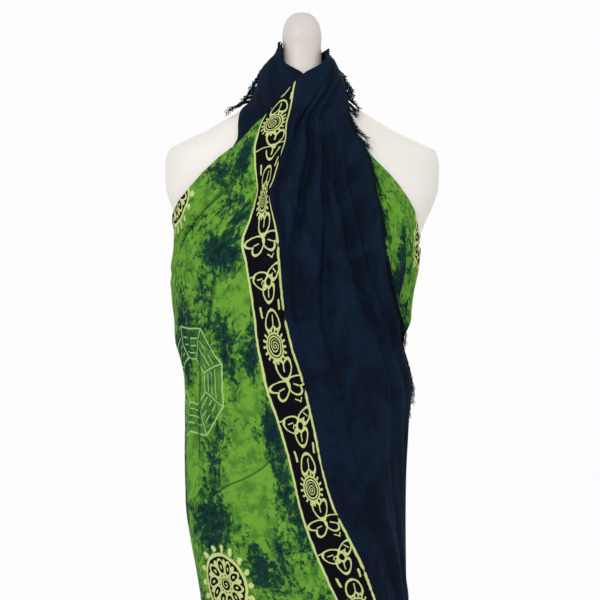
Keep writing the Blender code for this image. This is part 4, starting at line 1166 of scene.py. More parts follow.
def band_lines(finish, depth, near_end):
    """Distance to the lines drawn in the black band."""
    across = (BAND_MIDDLE - 0.0015) - near_end
    across = across * finish.ramp(depth, 0.06, 0.10, 0.80, 1.0)
    above = depth.math("LESS_THAN", depth, TUCK_DEPTH)
    down = depth + above * ((depth - TOP_SUN) * 0.35 - TUCKED)
    late = (down - REPEAT_CHANGE).math("MAXIMUM", down - REPEAT_CHANGE, 0.0)
    repeats = (down - FIRST_SUN) / UPPER_REPEAT + late * (1 / LOWER_REPEAT - 1 / UPPER_REPEAT)
    start = MOTIF_START / MOTIF_LENGTH
    along = ((repeats - start) % 1.0 + start) * MOTIF_LENGTH
    motif = finish.join(across, along)
    flower = finish.placed(motif, FLOWER_MIDDLE, 0, FLOWER_RADII)
    heart_of_flower = abs(finish.size_of(flower) - 1) * FLOWER_RADII[0] - LINE * 0.9
    distances = [sun_line(finish, motif), heart_of_flower]
    distances += [heart_line(finish, motif, *row) for row in BAND_HEARTS]
    distances += [stroke(finish, motif, *row) for row in BAND_STROKES]
    return finish.nearest(distances)


def border_lines(finish, place_vector, near_end):
    """Distance to the two cream lines beside the band; the navy side's is broken in places."""
    worn = finish.noise(place_vector, 30.0, 2.0)
    outer = abs(near_end - (NAVY_END + BAND_WIDTH - 0.0020)) - 0.0016
    thin = finish.ramp(worn, 0.30, 0.46, -0.0010, 0.0017)
    inner = abs(near_end - (NAVY_END + 0.0020)) - thin
    return finish.nearest([outer, inner])


def field_motifs(finish, place, depth):
    """The field's sun and octagon: motif coordinates in metres from each one's middle."""
    column = (place - FIELD_PLACE) / FIELD_COLUMN
    number = column.math("ROUND", column)
    across = (column - number) * FIELD_COLUMN - (depth - LEAN_MIDDLE) * FIELD_LEAN
    shift = abs(number) % 2.0 * 0.5
    rows = (depth - FIELD_DEPTH + number * FIELD_SLANT) / FIELD_ROW - shift
    sun_down = ((rows + 0.5) % 1.0 - 0.5) * FIELD_ROW
    octagon_down = (rows % 1.0 - 0.5) * FIELD_ROW
    octagon = finish.join(across - OCTAGON_SHIFT[0], octagon_down - OCTAGON_SHIFT[1])
    return finish.join(across, sun_down), octagon


def field_sun(finish, vector):
    """Masks of the field's sun: its black disc, and its cream rings, petals and flames."""
    vector = finish.placed(vector, (0.0, 0.0), 0, (FIELD_NARROW, 1.0))
    x, y = finish.split(vector)
    out = finish.size_of(vector)
    turn = out.math("ARCTAN2", y, x)
    petal_turn = 2 * math.pi / FIELD_PETALS
    aside = ((turn / petal_turn) % 1.0 - 0.5) * petal_turn * out
    petal = finish.length(aside / PETAL[1], (out - PETAL[0]) / PETAL[2])
    petal_outline = abs(petal - 1.0) * PETAL_SCALE - PETAL_LINE
    petal_heart = (petal - PETAL_HEART) * PETAL_SCALE
    between = ((turn / petal_turn + 0.5) % 1.0 - 0.5) * petal_turn * out
    wedge = finish.length(between / WEDGE[1], (out - WEDGE[0]) / WEDGE[2])
    wedge_fill = (wedge - 1.0) * PART_SCALE
    ring = abs(out - RING[0]) - RING[1]
    inner_ring = abs(out - INNER_RING[0]) - INNER_RING[1]
    coil = (out / COIL_PITCH - turn * (1 / (2 * math.pi))) % 1.0
    coil_line = abs(coil - 0.5) * COIL_PITCH - COIL_LINE
    coil_line = coil_line.math("MAXIMUM", coil_line, out - COIL_RADIUS)
    flame_turn = 2 * math.pi / FIELD_FLAMES
    flame_aside = ((turn / flame_turn) % 1.0 - 0.5) * flame_turn * out
    flame = finish.length(flame_aside / FLAME[1], (out - FLAME[0]) / FLAME[2])
    torn = finish.noise(vector, 150.0, 1.0)
    flames = (flame - 1.0) * PART_SCALE + (torn - 0.5) * FLAME_TEAR
    cream = finish.nearest([petal_outline, petal_heart, wedge_fill, ring, inner_ring, coil_line, flames])
    disc = out - DISC_RADIUS
    return disc, cream


def octagon_lines(finish, vector):
    """Distance to the octagon: eight sectors, each with three whole or broken bars."""
    x, y = finish.split(vector)
    out = finish.size_of(vector)
    sector = out.math("ARCTAN2", y, x) * (8 / (2 * math.pi)) + OCTAGON_TURN
    number = sector.math("FLOOR", sector)
    angle = (sector - number - 0.5) * (2 * math.pi / 8)
    ahead = out * out.math("COSINE", angle)
    aside = abs(out * out.math("SINE", angle))
    slope = math.tan(math.radians(22.5))
    outer = abs(ahead - OCTAGON_OUTER) - OCTAGON_EDGE
    inner = abs(ahead - OCTAGON_INNER) - OCTAGON_LINE
    inside = abs(ahead - OCTAGON_MIDDLE) - OCTAGON_HALF
    spoke = abs(aside - ahead * slope) - OCTAGON_LINE
    spoke = spoke.math("MAXIMUM", spoke, inside)
    bar = (ahead - BAR_START) / BAR_PITCH
    bar_number = bar.math("ROUND", bar)
    bar_line = abs(bar - bar_number) * BAR_PITCH - OCTAGON_LINE
    chance = (number * 0.37 + bar_number * 0.61) % 1.0
    gap = chance.math("GREATER_THAN", chance, BROKEN_ABOVE) * BAR_INSET
    bar_line = bar_line.math("MAXIMUM", bar_line, gap - aside)
    bar_line = bar_line.math("MAXIMUM", bar_line, aside - (ahead * slope - BAR_INSET))
    bar_line = bar_line.math("MAXIMUM", bar_line, abs(ahead - BAR_MIDDLE) - BAR_REACH)
    return finish.nearest([outer, inner, spoke, bar_line]), inside


def patch_sum(finish, vector, patches):
    """Sum of soft round patches."""
    total = None
    for place, depth, half_width, half_height, strength in patches:
        near_end = min(place, CLOTH_LENGTH - place, SLANT_REACH)
        level = depth + (near_end - BAND_MIDDLE) * PRINT_SLANT
        spot = finish.placed(vector, (place, level), 0, (half_width, half_height))
        part = finish.ramp(finish.size_of(spot), 0.25, 1.7, strength, 0.0)
        total = part if total is None else total + part
    return total


def green_dye(finish, place, patches):
    """The crumple-dyed green field: lime to leaf green, with ragged dark teal patches."""
    drawn = finish.shaken(place, 30.0, 0.008)
    density = finish.noise(place, 14.0, 3.0, 0.6) * 0.80 + 0.03
    if patches:
        density = density + patch_sum(finish, drawn, DARK_PATCHES)
        density = density - patch_sum(finish, drawn, BRIGHT_PATCHES)
    ragged = finish.noise(drawn, 105.0, 8.0, 0.74)
    amount = density + (ragged - 0.5) * 1.7
    tone = finish.noise(drawn, 48.0, 5.0, 0.66)
    green = finish.mix(finish.ramp(tone, 0.44, 0.62, 0.0, 0.85), LIME, LEAF)
    green = finish.mix(finish.ramp(amount, 0.40, 0.58, 0.0, 0.9), green, MOSS)
    green = finish.mix(finish.ramp(amount, 0.54, 0.63), green, TEAL)
    return finish.mix(finish.ramp(amount, 0.68, 0.86), green, DEEP)


def navy_dye(finish, place):
    """The navy ends: mottled, with darker and greener clouds."""
    cloud = finish.noise(place, 16.0, 4.0, 0.6, 0.5)
    streak = finish.noise(finish.placed(place, (0.3, 0.1), 0, (0.25, 1.0)), 14.0, 4.0, 0.6)
    colour = finish.mix(finish.ramp(cloud, 0.38, 0.66), DARK_NAVY, NAVY)
    return finish.mix(finish.ramp(streak, 0.52, 0.72, 0.0, 0.7), colour, TEAL_NAVY)


# Sharp bottoms of the creases: how far each reaches, then points along the cloth and down it
SHARP_CREASES = (
    (
        0.0075, (1.272, 0.076), (1.235, 0.058), (1.191, 0.056), (1.152, 0.072), (1.120, 0.085),
        (1.092, 0.090),
    ),
    (0.0075, (1.216, 0.190), (1.204, 0.212), (1.190, 0.236)),
    (0.0060, (1.158, 0.246), (1.136, 0.300), (1.114, 0.356)),
    (0.0018, (1.136, 0.425), (1.190, 0.446), (1.256, 0.466)),
)
CREASE_SINK = 3.6
# Share of deep teal painted into the crease bottoms as painted shade
CREASE_PAINTED_SHADE = 0.70


def crease_bottoms(finish, place):
    """One in the bottom of a sharp crease, falling to nought beside it."""
    along, depth = finish.split(place)
    near = []
    for reach, *line in SHARP_CREASES:
        for (u, v), (next_u, next_v) in zip(line, line[1:]):
            length = math.hypot(next_u - u, next_v - v)
            way = ((next_u - u) / length, (next_v - v) / length)
            forward = (along - u) * way[0] + (depth - v) * way[1]
            aside = (along - u) * way[1] - (depth - v) * way[0]
            past = abs(forward - length / 2) - length / 2
            near.append(finish.length(aside, past.math("MAXIMUM", past, 0.0)) / reach)
    return finish.ramp(finish.nearest(near), 1.0, 0.0)


def weave_bump(finish, place, creases=None):
    """The thread of the cloth, its fine crumple and sharp creases, as relief for light only."""
    crumple = finish.noise(place, 95.0, 4.0, 0.6, 0.6)
    thread = finish.noise(finish.placed(place, (0.0, 0.0), 0, (1.0, 0.22)), 900.0, 1.0)
    relief = crumple * 0.8 + thread * 0.16
    if creases is not None:
        relief = relief - creases * CREASE_SINK
    finish.bump(relief, 0.0012, 0.6)
    finish.feed("Roughness", finish.ramp(crumple, 0.3, 0.7, 0.74, 0.88))


def batik_finish(name, band=True, patches=True):
    """The whole print, drawn from the cloth's own coordinates, with painted shade in the sharp creases.
    """
    finish = Finish(name, 0.8, Specular_IOR_Level=CLOTH_SPECULAR)
    place = finish.print_place()
    hand = finish.shaken(place, HAND_SCALE, HAND_REACH)
    hand = finish.shaken(hand, FINE_HAND_SCALE, FINE_HAND_REACH)
    along, depth = finish.split(hand)
    near_end = along.math("MINIMUM", along, CLOTH_LENGTH - along)
    tuck = finish.ramp(depth, *TUCK_IN, TOP_SHIFT, TUCK_SHIFT)
    tuck = tuck - finish.ramp(depth, *TUCK_OUT, 0.0, TUCK_SHIFT)
    spread = finish.ramp(depth, *BAND_OPENS, CLOSED_SHARE, 1.0)
    near_end = (near_end + tuck - BAND_MIDDLE) * spread + BAND_MIDDLE
    colour = green_dye(finish, place, patches)

    sun_place, octagon_place = field_motifs(finish, along, depth)
    lines, ring = octagon_lines(finish, octagon_place)
    tint = finish.ramp(ring, 0.002, -0.004, 0.0, 0.45)
    colour = finish.mix(tint, colour, MOSS)
    colour = finish.mix(finish.ramp(lines, EDGE_SOFTNESS, -EDGE_SOFTNESS, 0.0, 0.85), colour, PALE_LINE)
    disc, cream = field_sun(finish, sun_place)
    colour = finish.mix(finish.ramp(disc, EDGE_SOFTNESS, -EDGE_SOFTNESS), colour, BLACK)
    wax = finish.mix(finish.noise(place, 220.0, 2.0), CREAM, dye(188, 204, 118))
    colour = finish.mix(finish.ramp(cream, EDGE_SOFTNESS, -EDGE_SOFTNESS), colour, wax)

    if band:
        edge = NAVY_END + BAND_WIDTH - 0.002
        colour = finish.mix(finish.ramp(near_end, edge, edge - 0.001), colour, BLACK)
        drawn = band_lines(finish, depth, near_end)
        borders = border_lines(finish, place, near_end)
        drawn = drawn.math("MAXIMUM", drawn, abs(near_end - DRAWN_MIDDLE) - DRAWN_HALF)
        colour = finish.mix(
            finish.ramp(near_end, NAVY_END + 0.0014, NAVY_END + 0.0004), colour, navy_dye(finish, place)
        )
        drawn = finish.nearest([drawn, borders])
        colour = finish.mix(finish.ramp(drawn, EDGE_SOFTNESS, -EDGE_SOFTNESS), colour, wax)
    creases = None
    if patches:
        creases = crease_bottoms(finish, finish.cloth_place())
        # Painted shade: the bottoms of the sharp creases are darkened towards deep teal
        colour = finish.mix(creases * CREASE_PAINTED_SHADE, colour, DEEP)
    finish.feed("Base Color", colour)
    weave_bump(finish, finish.cloth_place(), creases)
    return finish.material


def navy_finish():
    finish = Finish("navy_rayon", 0.8, Specular_IOR_Level=CLOTH_SPECULAR)
    place = finish.cloth_place()
    finish.feed("Base Color", navy_dye(finish, place))
    weave_bump(finish, place)
    return finish.material


def thread_finish():
    """The fringe's twisted thread, teal black to navy."""
    finish = Finish("fringe_thread", 0.75, Specular_IOR_Level=CLOTH_SPECULAR)
    place = finish.object_place()
    mottle = finish.noise(place, 160.0, 2.0)
    colour = finish.mix(finish.ramp(mottle, 0.35, 0.65), dye(9, 24, 28), dye(16, 34, 44))
    finish.feed("Base Color", colour)
    finish.bump(finish.noise(place, 2600.0, 1.0), 0.0003, 0.4)
    return finish.material


def form_finish():
    """Off-white satin shell with the faintest unevenness, and painted shade that darkens it towards the
    neck.
    """
    finish = Finish("form_shell", 0.42)
    place = finish.object_place()
    cloud = finish.noise(place, 7.0, 3.0)
    fleck = finish.noise(place, 420.0, 2.0)
    colour = finish.mix(finish.ramp(cloud, 0.3, 0.7), shade(210, 206, 199), shade(216, 212, 206))
    # Painted shade: from the base of the neck up, the shell is darkened towards a warm grey
    height = finish.node("ShaderNodeSeparateXYZ", None, (place,), output=2)
    colour = finish.mix(finish.ramp(height, 1.47, 1.53, 0.0, 0.75), colour, shade(180, 170, 164))
    finish.feed("Base Color", colour)
    finish.feed("Roughness", finish.ramp(fleck, 0.3, 0.7, 0.38, 0.50))
    finish.bump(fleck + cloud * 2.0, 0.00035, 0.25)
    return finish.material


def steel_finish():
    """Brushed steel of the stand: fine marks that run round it."""
    finish = Finish("stand_steel", 0.34, 1.0)
    place = finish.object_place()
    flattened = finish.node("ShaderNodeVectorMath", {"operation": "MULTIPLY"}, (place, STEEL_STRETCH))
    marks = finish.noise(flattened, 45.0, 3.0)
    colour = finish.mix(finish.ramp(marks, 0.3, 0.7), shade(186, 187, 190), shade(206, 207, 209))
    finish.feed("Base Color", colour)
    finish.feed("Roughness", finish.ramp(marks, 0.3, 0.7, 0.26, 0.42))
    finish.bump(marks, 0.0002, 0.2)
    return finish.material


def make_panels(material, field_material):
    """The three stretches of cloth that go round the form."""
    over_stops = (left_seam, band_outer, band_inner, CLOTH_LENGTH)
    under_stops = (0.0, CORNER_TO_NECK, 2 * CORNER_TO_NECK, right_seam)
    over_grid, over_places = over.grid(spaced(over_stops, OVER_COLUMNS))
    under_grid, under_places = under.grid(spaced(under_stops, UNDER_COLUMNS))
    back_grid, back_places = back.grid(spaced((right_seam, left_seam), (BACK_COLUMNS,)))
    cloth_over = add_cloth("cloth_over", over_grid, over_places, material, (0,))
    cloth_under = add_cloth("cloth_under", under_grid, under_places, material, (-1,))
    cloth_back = add_cloth("cloth_back", back_grid, back_places, field_material, (0, -1))
    over_length = CLOTH_LENGTH - left_seam
    back_length = left_seam - right_seam
    for piece, node, length in (
        (cloth_over, "over_front", over_length),
        (cloth_under, "under_front", right_seam),
        (cloth_back, "back_panel", back_length),
    ):
        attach(piece, "root")
        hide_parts(node)
    return over_grid, under_grid


def strap_grid(edges, side, base_step):
    """Outer face of a gathered strap between its upper and its lower edge, and its cloth map."""
    at = np.linspace(0, 1, len(edges))
    upper_angle = smooth_curve(at, [edge[0][0] for edge in edges])
    upper_height = smooth_curve(at, [edge[0][1] for edge in edges])
    lower_angle = smooth_curve(at, [edge[1][0] for edge in edges])
    lower_height = smooth_curve(at, [edge[1][1] for edge in edges])
    along = np.linspace(0, 1, STRAP_SECTIONS + 1)[None, :]
    across = np.linspace(0, 1, STRAP_CELLS + 1)[:, None]
    angle = upper_angle(along) + (lower_angle(along) - upper_angle(along)) * across
    height = upper_height(along) + (lower_height(along) - upper_height(along)) * across
    turn = np.radians(angle)
    fold = np.full_like(angle, STRAP_LIFT)
    for count, size, phase in STRAP_FOLDS:
        wave = 0.5 - 0.5 * np.cos(2 * math.pi * (count * across + phase * along))
        fold = fold + size * wave * np.clip(along * FOLD_GROWTH, FOLD_START, 1)
    radius = drape_radius(turn, height) + base_step + fold
    points = ring_points(turn, height, radius)
    place = CORNER_TO_NECK * across + 0 * along
    depth = STRAP_FLAT_LENGTH * along + 0 * across
    if side > 0:
        return points, np.stack([CLOTH_LENGTH - place, depth], axis=-1)
    return points[:, ::-1], np.stack([place, depth], axis=-1)[:, ::-1]


def make_straps(material):
    for name, edges, side, step in (
        ("over_strap", OVER_STRAP, 1, LAYER_STEP),
        ("under_strap", UNDER_STRAP, -1, 0.0),
    ):
        points, places = strap_grid(edges, side, step)
        piece = add_cloth("gathered_" + name, points, places, material)
        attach(piece, "root")
        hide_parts(name)


def make_form(material):
    """The torso form, turned much finer than its solid."""
    rows, columns = FORM_ROWS, FORM_COLUMNS
    known = [section[0] for section in FORM_SECTIONS]
    steps = np.linspace(0, len(known) - 1, rows)
    heights = np.interp(steps, np.arange(len(known)), known)
    turn = np.linspace(0, 2 * math.pi, columns, endpoint=False)
    angle, height = np.meshgrid(turn, heights)
    points = ring_points(angle, height, form_radius(angle, height)).reshape(-1, 3)
    number = np.arange(rows * columns).reshape(rows, columns)
    upper = number[:-1]
    lower = number[1:]
    faces = np.stack([upper, lower, np.roll(lower, -1, axis=1), np.roll(upper, -1, axis=1)], axis=-1)
    piece = add_mesh("torso_shell", points, faces.reshape(-1, 4), material)
    bm = bmesh.new()
    bm.from_mesh(piece.data)
    bmesh.ops.holes_fill(bm, edges=[edge for edge in bm.edges if edge.is_boundary])
    bmesh.ops.recalc_face_normals(bm, faces=bm.faces)
    bm.to_mesh(piece.data)
    bm.free()
    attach(piece, "root")
    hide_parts("form_torso")
    return piece


# Fringe: knots of several twisted threads along a short end
TASSEL_THREADS = 5
THREAD_RADIUS = 0.0006
BUNDLE_RADIUS = 0.0012
GUIDE_STEPS = 7
THREAD_POINTS = 18
THREAD_TURNS = 2.5
THREAD_TAPER = (1.15, 0.55)
TASSEL_KNOT = 0.0013
TASSEL_FLARE = (0.45, 1.6)
OVER_TANGLE = 0.011
UNDER_TANGLE = 0.015
TANGLE_SCALE = 95.0
OVER_TASSEL_PITCH = 0.0088
UNDER_TASSEL_PITCH = 0.0056
UNDER_FRINGE_DROP = 0.085
SHOULDER_TOP = 1.458
# Above this height the tassels are curled up to a share of their length
CURLED_ABOVE = 1.36
CURLED_SHARE = 0.6
FRINGE_INSET = 0.004
# How far the tassels stand off their edge: length down the edge, then the share
OVER_SPREAD = (
    (0.00, 0.50),
    (0.06, 0.45),
    (0.17, 0.24),
    (0.22, 0.08),
    (0.44, 0.10),
    (0.54, 0.26),
    (1.20, 0.40),
)
UNDER_SPREAD = (
    (0.00, 1.00),
    (0.05, 0.90),
    (0.065, 0.15),
)
STRAY_SHARE = 0.10
STRAY_REACH = 2.2
# How one tassel differs from the next: place, reach, length, curl and lift
PLACE_SHAKE = 0.3
REACH_RANGE = (0.4, 1.6)
LENGTH_RANGE = (0.55, 1.0)
SHORTEST = 0.014
CURL_RANGE = (-1.2, 0.7)
LIFT_RANGE = (0.0, 0.004)
ROOT_INSET = 0.0015
ROOT_SINK = 0.003

# Clearance of the threads over the cloth or form under them: height, then clearance
THREAD_CLEARANCE = (
    (0.050, 0.0080),
    (0.950, 0.0070),
    (1.150, 0.0050),
    (1.350, 0.0050),
    (1.390, 0.0090),
    (1.460, 0.0100),
    (1.540, 0.0045),
)


class Edge:
    """An edge of the cloth with the directions a fringe needs, read by length along it."""

    def __init__(self, edge, neighbour):
        tangent = unit(np.gradient(edge, axis=0))
        away = edge - neighbour
        away = unit(away - (away * tangent).sum(axis=-1, keepdims=True) * tangent)
        normal = np.cross(tangent, away)
        outward = (normal[:, :2] * edge[:, :2]).sum(axis=-1)
        normal *= np.sign(outward)[:, None]
        self.length = path_lengths(edge)
        self.total = self.length[-1]
        self.rows = np.concatenate([edge - normal * THICKNESS / 2, tangent, away, normal], axis=1)

    def at(self, length):
        row = [np.interp(length, self.length, column) for column in self.rows.T]
        values = np.array(row).reshape(4, 3)
        return values[0], unit(values[1]), unit(values[2]), unit(values[3])


def lifted(point, extra):
    """Move a point out until it is clear of the cloth or the form under it."""
    turn = math.atan2(point[0], -point[1])
    clear = np.interp(point[2], *zip(*THREAD_CLEARANCE)) + extra
    needed = float(drape_radius(turn, point[2])) + clear
    radius = math.hypot(point[0], point[1])
    if radius < needed:
        point = np.array([point[0] * needed / radius, point[1] * needed / radius, point[2]])
    return point


def tassel_guides(edge, first, last, pitch, spread, seed):
    """Guide lines of the tassels: down beside the edge and out from it, each its own way."""
    random = np.random.default_rng(seed)
    count = int((last - first) / pitch)
    guides = []
    for number in range(count):
        at = first + (number + 0.5 + random.uniform(-PLACE_SHAKE, PLACE_SHAKE)) * (last - first) / count
        root, tangent, away, _ = edge.at(at)
        out = np.interp(at, *zip(*spread)) * random.uniform(*REACH_RANGE)
        if random.uniform() < STRAY_SHARE:
            out *= STRAY_REACH
        length = FRINGE_LENGTH * random.uniform(*LENGTH_RANGE)
        if root[2] > CURLED_ABOVE:
            length *= CURLED_SHARE
        if root[2] > SHOULDER_TOP:
            length = min(length, max(SHORTEST, root[2] - SHOULDER_TOP))
        curl = random.uniform(*CURL_RANGE)
        lift = random.uniform(*LIFT_RANGE)
        step = length / GUIDE_STEPS
        points = [root - away * ROOT_INSET]
        for k in range(GUIDE_STEPS):
            share = (k + 1) / GUIDE_STEPS
            side = away * out * (1.25 + curl * share)
            way = unit(tangent * 0.8 + np.array([0, 0, -0.35]) * share + side)
            point = lifted(points[-1] + way * step, lift * share - ROOT_SINK * (1 - share))
            points.append(point)
        guides.append(points)
    return guides


def fringe_tree():
    """Geometry nodes that turn each guide line into a knotted tassel of twisted threads."""
    tree = bpy.data.node_groups.new("twisted_fringe", "GeometryNodeTree")
    inputs = (
        ("Guides", "NodeSocketGeometry"),
        ("Threads", "NodeSocketInt"),
        ("Thread Radius", "NodeSocketFloat"),
        ("Bundle Radius", "NodeSocketFloat"),
        ("Turns", "NodeSocketFloat"),
        ("Tangle", "NodeSocketFloat"),
        ("Knot Radius", "NodeSocketFloat"),
        ("Seed", "NodeSocketFloat"),
        ("Finish", "NodeSocketMaterial"),
    )
    for name, kind in inputs:
        tree.interface.new_socket(name, in_out="INPUT", socket_type=kind)
    tree.interface.new_socket("Fringe", in_out="OUTPUT", socket_type="NodeSocketGeometry")

    def add(kind, settings=None, links=None):
        node = tree.nodes.new(kind)
        for key, value in (settings or {}).items():
            setattr(node, key, value)
        for key, value in (links or {}).items():
            if isinstance(value, bpy.types.NodeSocket):
                tree.links.new(value, node.inputs[key])
            else:
                node.inputs[key].default_value = value
        return node

    def maths(operation, *values):
        return add("ShaderNodeMath", {"operation": operation}, dict(enumerate(values))).outputs[0]

    def vector(operation, links):
        return add("ShaderNodeVectorMath", {"operation": operation}, links).outputs[0]

    given = tree.nodes.new("NodeGroupInput").outputs
    curves = add("GeometryNodeMeshToCurve", None, {"Mesh": given["Guides"]})
    spline = add("GeometryNodeCurveSplineType", {"spline_type": "CATMULL_ROM"},
                 {"Curve": curves.outputs[0]})
    even = add("GeometryNodeResampleCurve", None, {"Curve": spline.outputs[0], "Count": THREAD_POINTS})
    copies = add("GeometryNodeDuplicateElements", {"domain": "SPLINE"},
                 {"Geometry": even.outputs[0], "Amount": given["Threads"]})
    share = add("GeometryNodeSplineParameter").outputs["Factor"]
    number = copies.outputs["Duplicate Index"]

    spread = maths("ADD", maths("MULTIPLY", share, TASSEL_FLARE[1]), TASSEL_FLARE[0])
    turn = maths("DIVIDE", maths("MULTIPLY", number, 2 * math.pi), given["Threads"])
    turn = maths("ADD", turn, maths("MULTIPLY", maths("MULTIPLY", share, given["Turns"]), 2 * math.pi))
    reach = maths("MULTIPLY", given["Bundle Radius"], spread)
    normal = add("GeometryNodeInputNormal").outputs[0]
    tangent = add("GeometryNodeInputTangent").outputs[0]
    other = vector("CROSS_PRODUCT", {0: tangent, 1: normal})
    first = vector("SCALE", {0: normal, "Scale": maths("MULTIPLY", reach, maths("COSINE", turn))})
    second = vector("SCALE", {0: other, "Scale": maths("MULTIPLY", reach, maths("SINE", turn))})
    twist = vector("ADD", {0: first, 1: second})

    position = add("GeometryNodeInputPosition").outputs[0]
    seed = maths("ADD", given["Seed"], maths("MULTIPLY", number, 7.3))
    noise = add("ShaderNodeTexNoise", {"noise_dimensions": "4D"},
                {"Vector": position, "W": seed, "Scale": TANGLE_SCALE, "Detail": 2.0})
    loose = vector("SUBTRACT", {0: noise.outputs["Color"], 1: (0.5, 0.5, 0.5)})
    freedom = maths("MULTIPLY", given["Tangle"], maths("POWER", share, 1.5))
    loose = vector("SCALE", {0: loose, "Scale": freedom})
    offset = vector("ADD", {0: twist, 1: loose})
    moved = add("GeometryNodeSetPosition", None, {"Geometry": copies.outputs[0], "Offset": offset})

    taper = maths("SUBTRACT", THREAD_TAPER[0], maths("MULTIPLY", share, THREAD_TAPER[1]))
    radius = maths("MULTIPLY", given["Thread Radius"], taper)
    section = add("GeometryNodeCurvePrimitiveCircle", None, {"Resolution": 4, "Radius": 1.0})
    threads = add("GeometryNodeCurveToMesh", None, {
        "Curve": moved.outputs[0],
        "Profile Curve": section.outputs[0],
        "Scale": radius,
        "Fill Caps": True,
    })

    index = add("GeometryNodeSplineParameter").outputs["Index"]
    at_knot = add("FunctionNodeCompare", {"data_type": "INT", "operation": "EQUAL"},
                  {2: index, 3: 3})
    knot = add("GeometryNodeMeshIcoSphere", None, {"Radius": 1.0, "Subdivisions": 2})
    knots = add("GeometryNodeInstanceOnPoints", None, {
        "Points": even.outputs[0],
        "Selection": at_knot.outputs[0],
        "Instance": knot.outputs[0],
        "Scale": given["Knot Radius"],
    })
    joined = add("GeometryNodeJoinGeometry")
    tree.links.new(threads.outputs[0], joined.inputs[0])
    tree.links.new(knots.outputs[0], joined.inputs[0])
    smooth = add("GeometryNodeSetShadeSmooth", None, {"Geometry": joined.outputs[0]})
    real = add("GeometryNodeRealizeInstances", None, {"Geometry": smooth.outputs[0]})
    painted = add("GeometryNodeSetMaterial", None,
                  {"Geometry": real.outputs[0], "Material": given["Finish"]})
    out = tree.nodes.new("NodeGroupOutput")
    tree.links.new(painted.outputs[0], out.inputs[0])
    return tree


def grown_piece(name, guides, tree, values, material):
    """Run the fringe tree on guide lines and keep the result as a plain mesh."""
    mesh = bpy.data.meshes.new(name + "_guides")
    points = [tuple(point) for line in guides for point in line]
    size = len(guides[0])
    edges = [(n * size + k, n * size + k + 1) for n in range(len(guides)) for k in range(size - 1)]
    mesh.from_pydata(points, edges, [])
    grower = bpy.data.objects.new(name + "_guides", mesh)
    bpy.context.scene.collection.objects.link(grower)
    modifier = grower.modifiers.new("fringe", "NODES")
    modifier.node_group = tree
    sockets = [item for item in tree.interface.items_tree if item.in_out == "INPUT"]
    identifiers = {item.name: item.identifier for item in sockets}
    for key, value in values.items():
        modifier[identifiers[key]] = value
    modifier[identifiers["Finish"]] = material
    bpy.context.view_layer.update()
    evaluated = grower.evaluated_get(bpy.context.evaluated_depsgraph_get())
    result = bpy.data.meshes.new_from_object(evaluated)
    grower.modifiers.remove(modifier)
    bpy.data.objects.remove(grower)
    piece = bpy.data.objects.new(name, result)
    result.name = name
    bpy.context.scene.collection.objects.link(piece)
    return piece


def make_fringes(over_grid, under_grid, material):
    over_edge = Edge(over_grid[:, -1], over_grid[:, -2])
    under_edge = Edge(under_grid[:, 0], under_grid[:, 1])
    tree = fringe_tree()
    over_last = over_edge.total - FRINGE_INSET
    rows = (
        ("fringe_over", over_edge, over_last, OVER_TASSEL_PITCH, OVER_SPREAD, 11, OVER_TANGLE),
        (
            "fringe_under", under_edge, UNDER_FRINGE_DROP, UNDER_TASSEL_PITCH, UNDER_SPREAD, 23,
            UNDER_TANGLE,
        ),
    )
    for node, edge, last, pitch, spread, seed, tangle in rows:
        guides = tassel_guides(edge, FRINGE_INSET, last, pitch, spread, seed)
        values = {
            "Threads": TASSEL_THREADS,
            "Thread Radius": THREAD_RADIUS,
            "Bundle Radius": BUNDLE_RADIUS,
            "Turns": THREAD_TURNS,
            "Tangle": tangle,
            "Knot Radius": TASSEL_KNOT,
            "Seed": float(seed),
        }
        piece = grown_piece("threads_of_" + node, guides, tree, values, material)
        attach(piece, "root")
        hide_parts(node)


# The studio: the floor's half width, the surround's strength, and the camera
FLOOR_REACH = 2.4
SURROUND_STRENGTH = 0.98
CAMERA_LENS = 111.4
CAMERA_PLACE = (-0.003, -2.6, 1.1768)


def make_stage():
    """A pale floor, a white surround, soft light and the camera."""
    reach = FLOOR_REACH
    floor_mesh = bpy.data.meshes.new("floor")
    corners = [(-reach, -reach, 0), (reach, -reach, 0), (reach, reach, 0), (-reach, reach, 0)]
    floor_mesh.from_pydata(corners, [], [(0, 1, 2, 3)])
    floor = bpy.data.objects.new("floor", floor_mesh)
    bpy.context.scene.collection.objects.link(floor)
    floor_finish = Finish("pale_floor", 0.8)
    grain = floor_finish.noise(floor_finish.object_place(), 3.0, 2.0)
    floor_finish.feed("Base Color", floor_finish.mix(grain, shade(226, 226, 226), shade(234, 234, 234)))
    floor_mesh.materials.append(floor_finish.material)

    world = bpy.data.worlds.new("surround")
    world.use_nodes = True
    world.node_tree.nodes["Background"].inputs["Color"].default_value = (1, 1, 1, 1)
    world.node_tree.nodes["Background"].inputs["Strength"].default_value = SURROUND_STRENGTH
    bpy.context.scene.world = world
    bpy.context.scene.view_settings.view_transform = "Standard"

    # Soft lights: place, point they face, size and power
    lights = (
        ("key", (-0.9, -2.7, 2.2), (0.0, 0.0, 1.15), 0.9, 30),
        ("fill", (1.7, -2.2, 1.7), (0.0, 0.0, 1.10), 1.2, 6),
        ("rear", (0.5, 2.4, 2.2), (0.0, 0.0, 1.20), 1.4, 16),
    )
    for name, place, target, size, power in lights:
        data = bpy.data.lights.new(name, "AREA")
        data.shape = "DISK"
        data.size = size
        data.energy = power
        light = bpy.data.objects.new(name, data)
        light.location = place
        aim = Vector(target) - Vector(place)
        light.rotation_euler = aim.to_track_quat("-Z", "Y").to_euler()
        bpy.context.scene.collection.objects.link(light)

    camera_data = bpy.data.cameras.new("camera")
    camera_data.sensor_width = 36
    camera_data.lens = CAMERA_LENS
    camera = bpy.data.objects.new("camera", camera_data)
    camera.location = CAMERA_PLACE
    camera.rotation_euler = (math.radians(90), 0, 0)
    bpy.context.scene.collection.objects.link(camera)
    bpy.context.scene.camera = camera


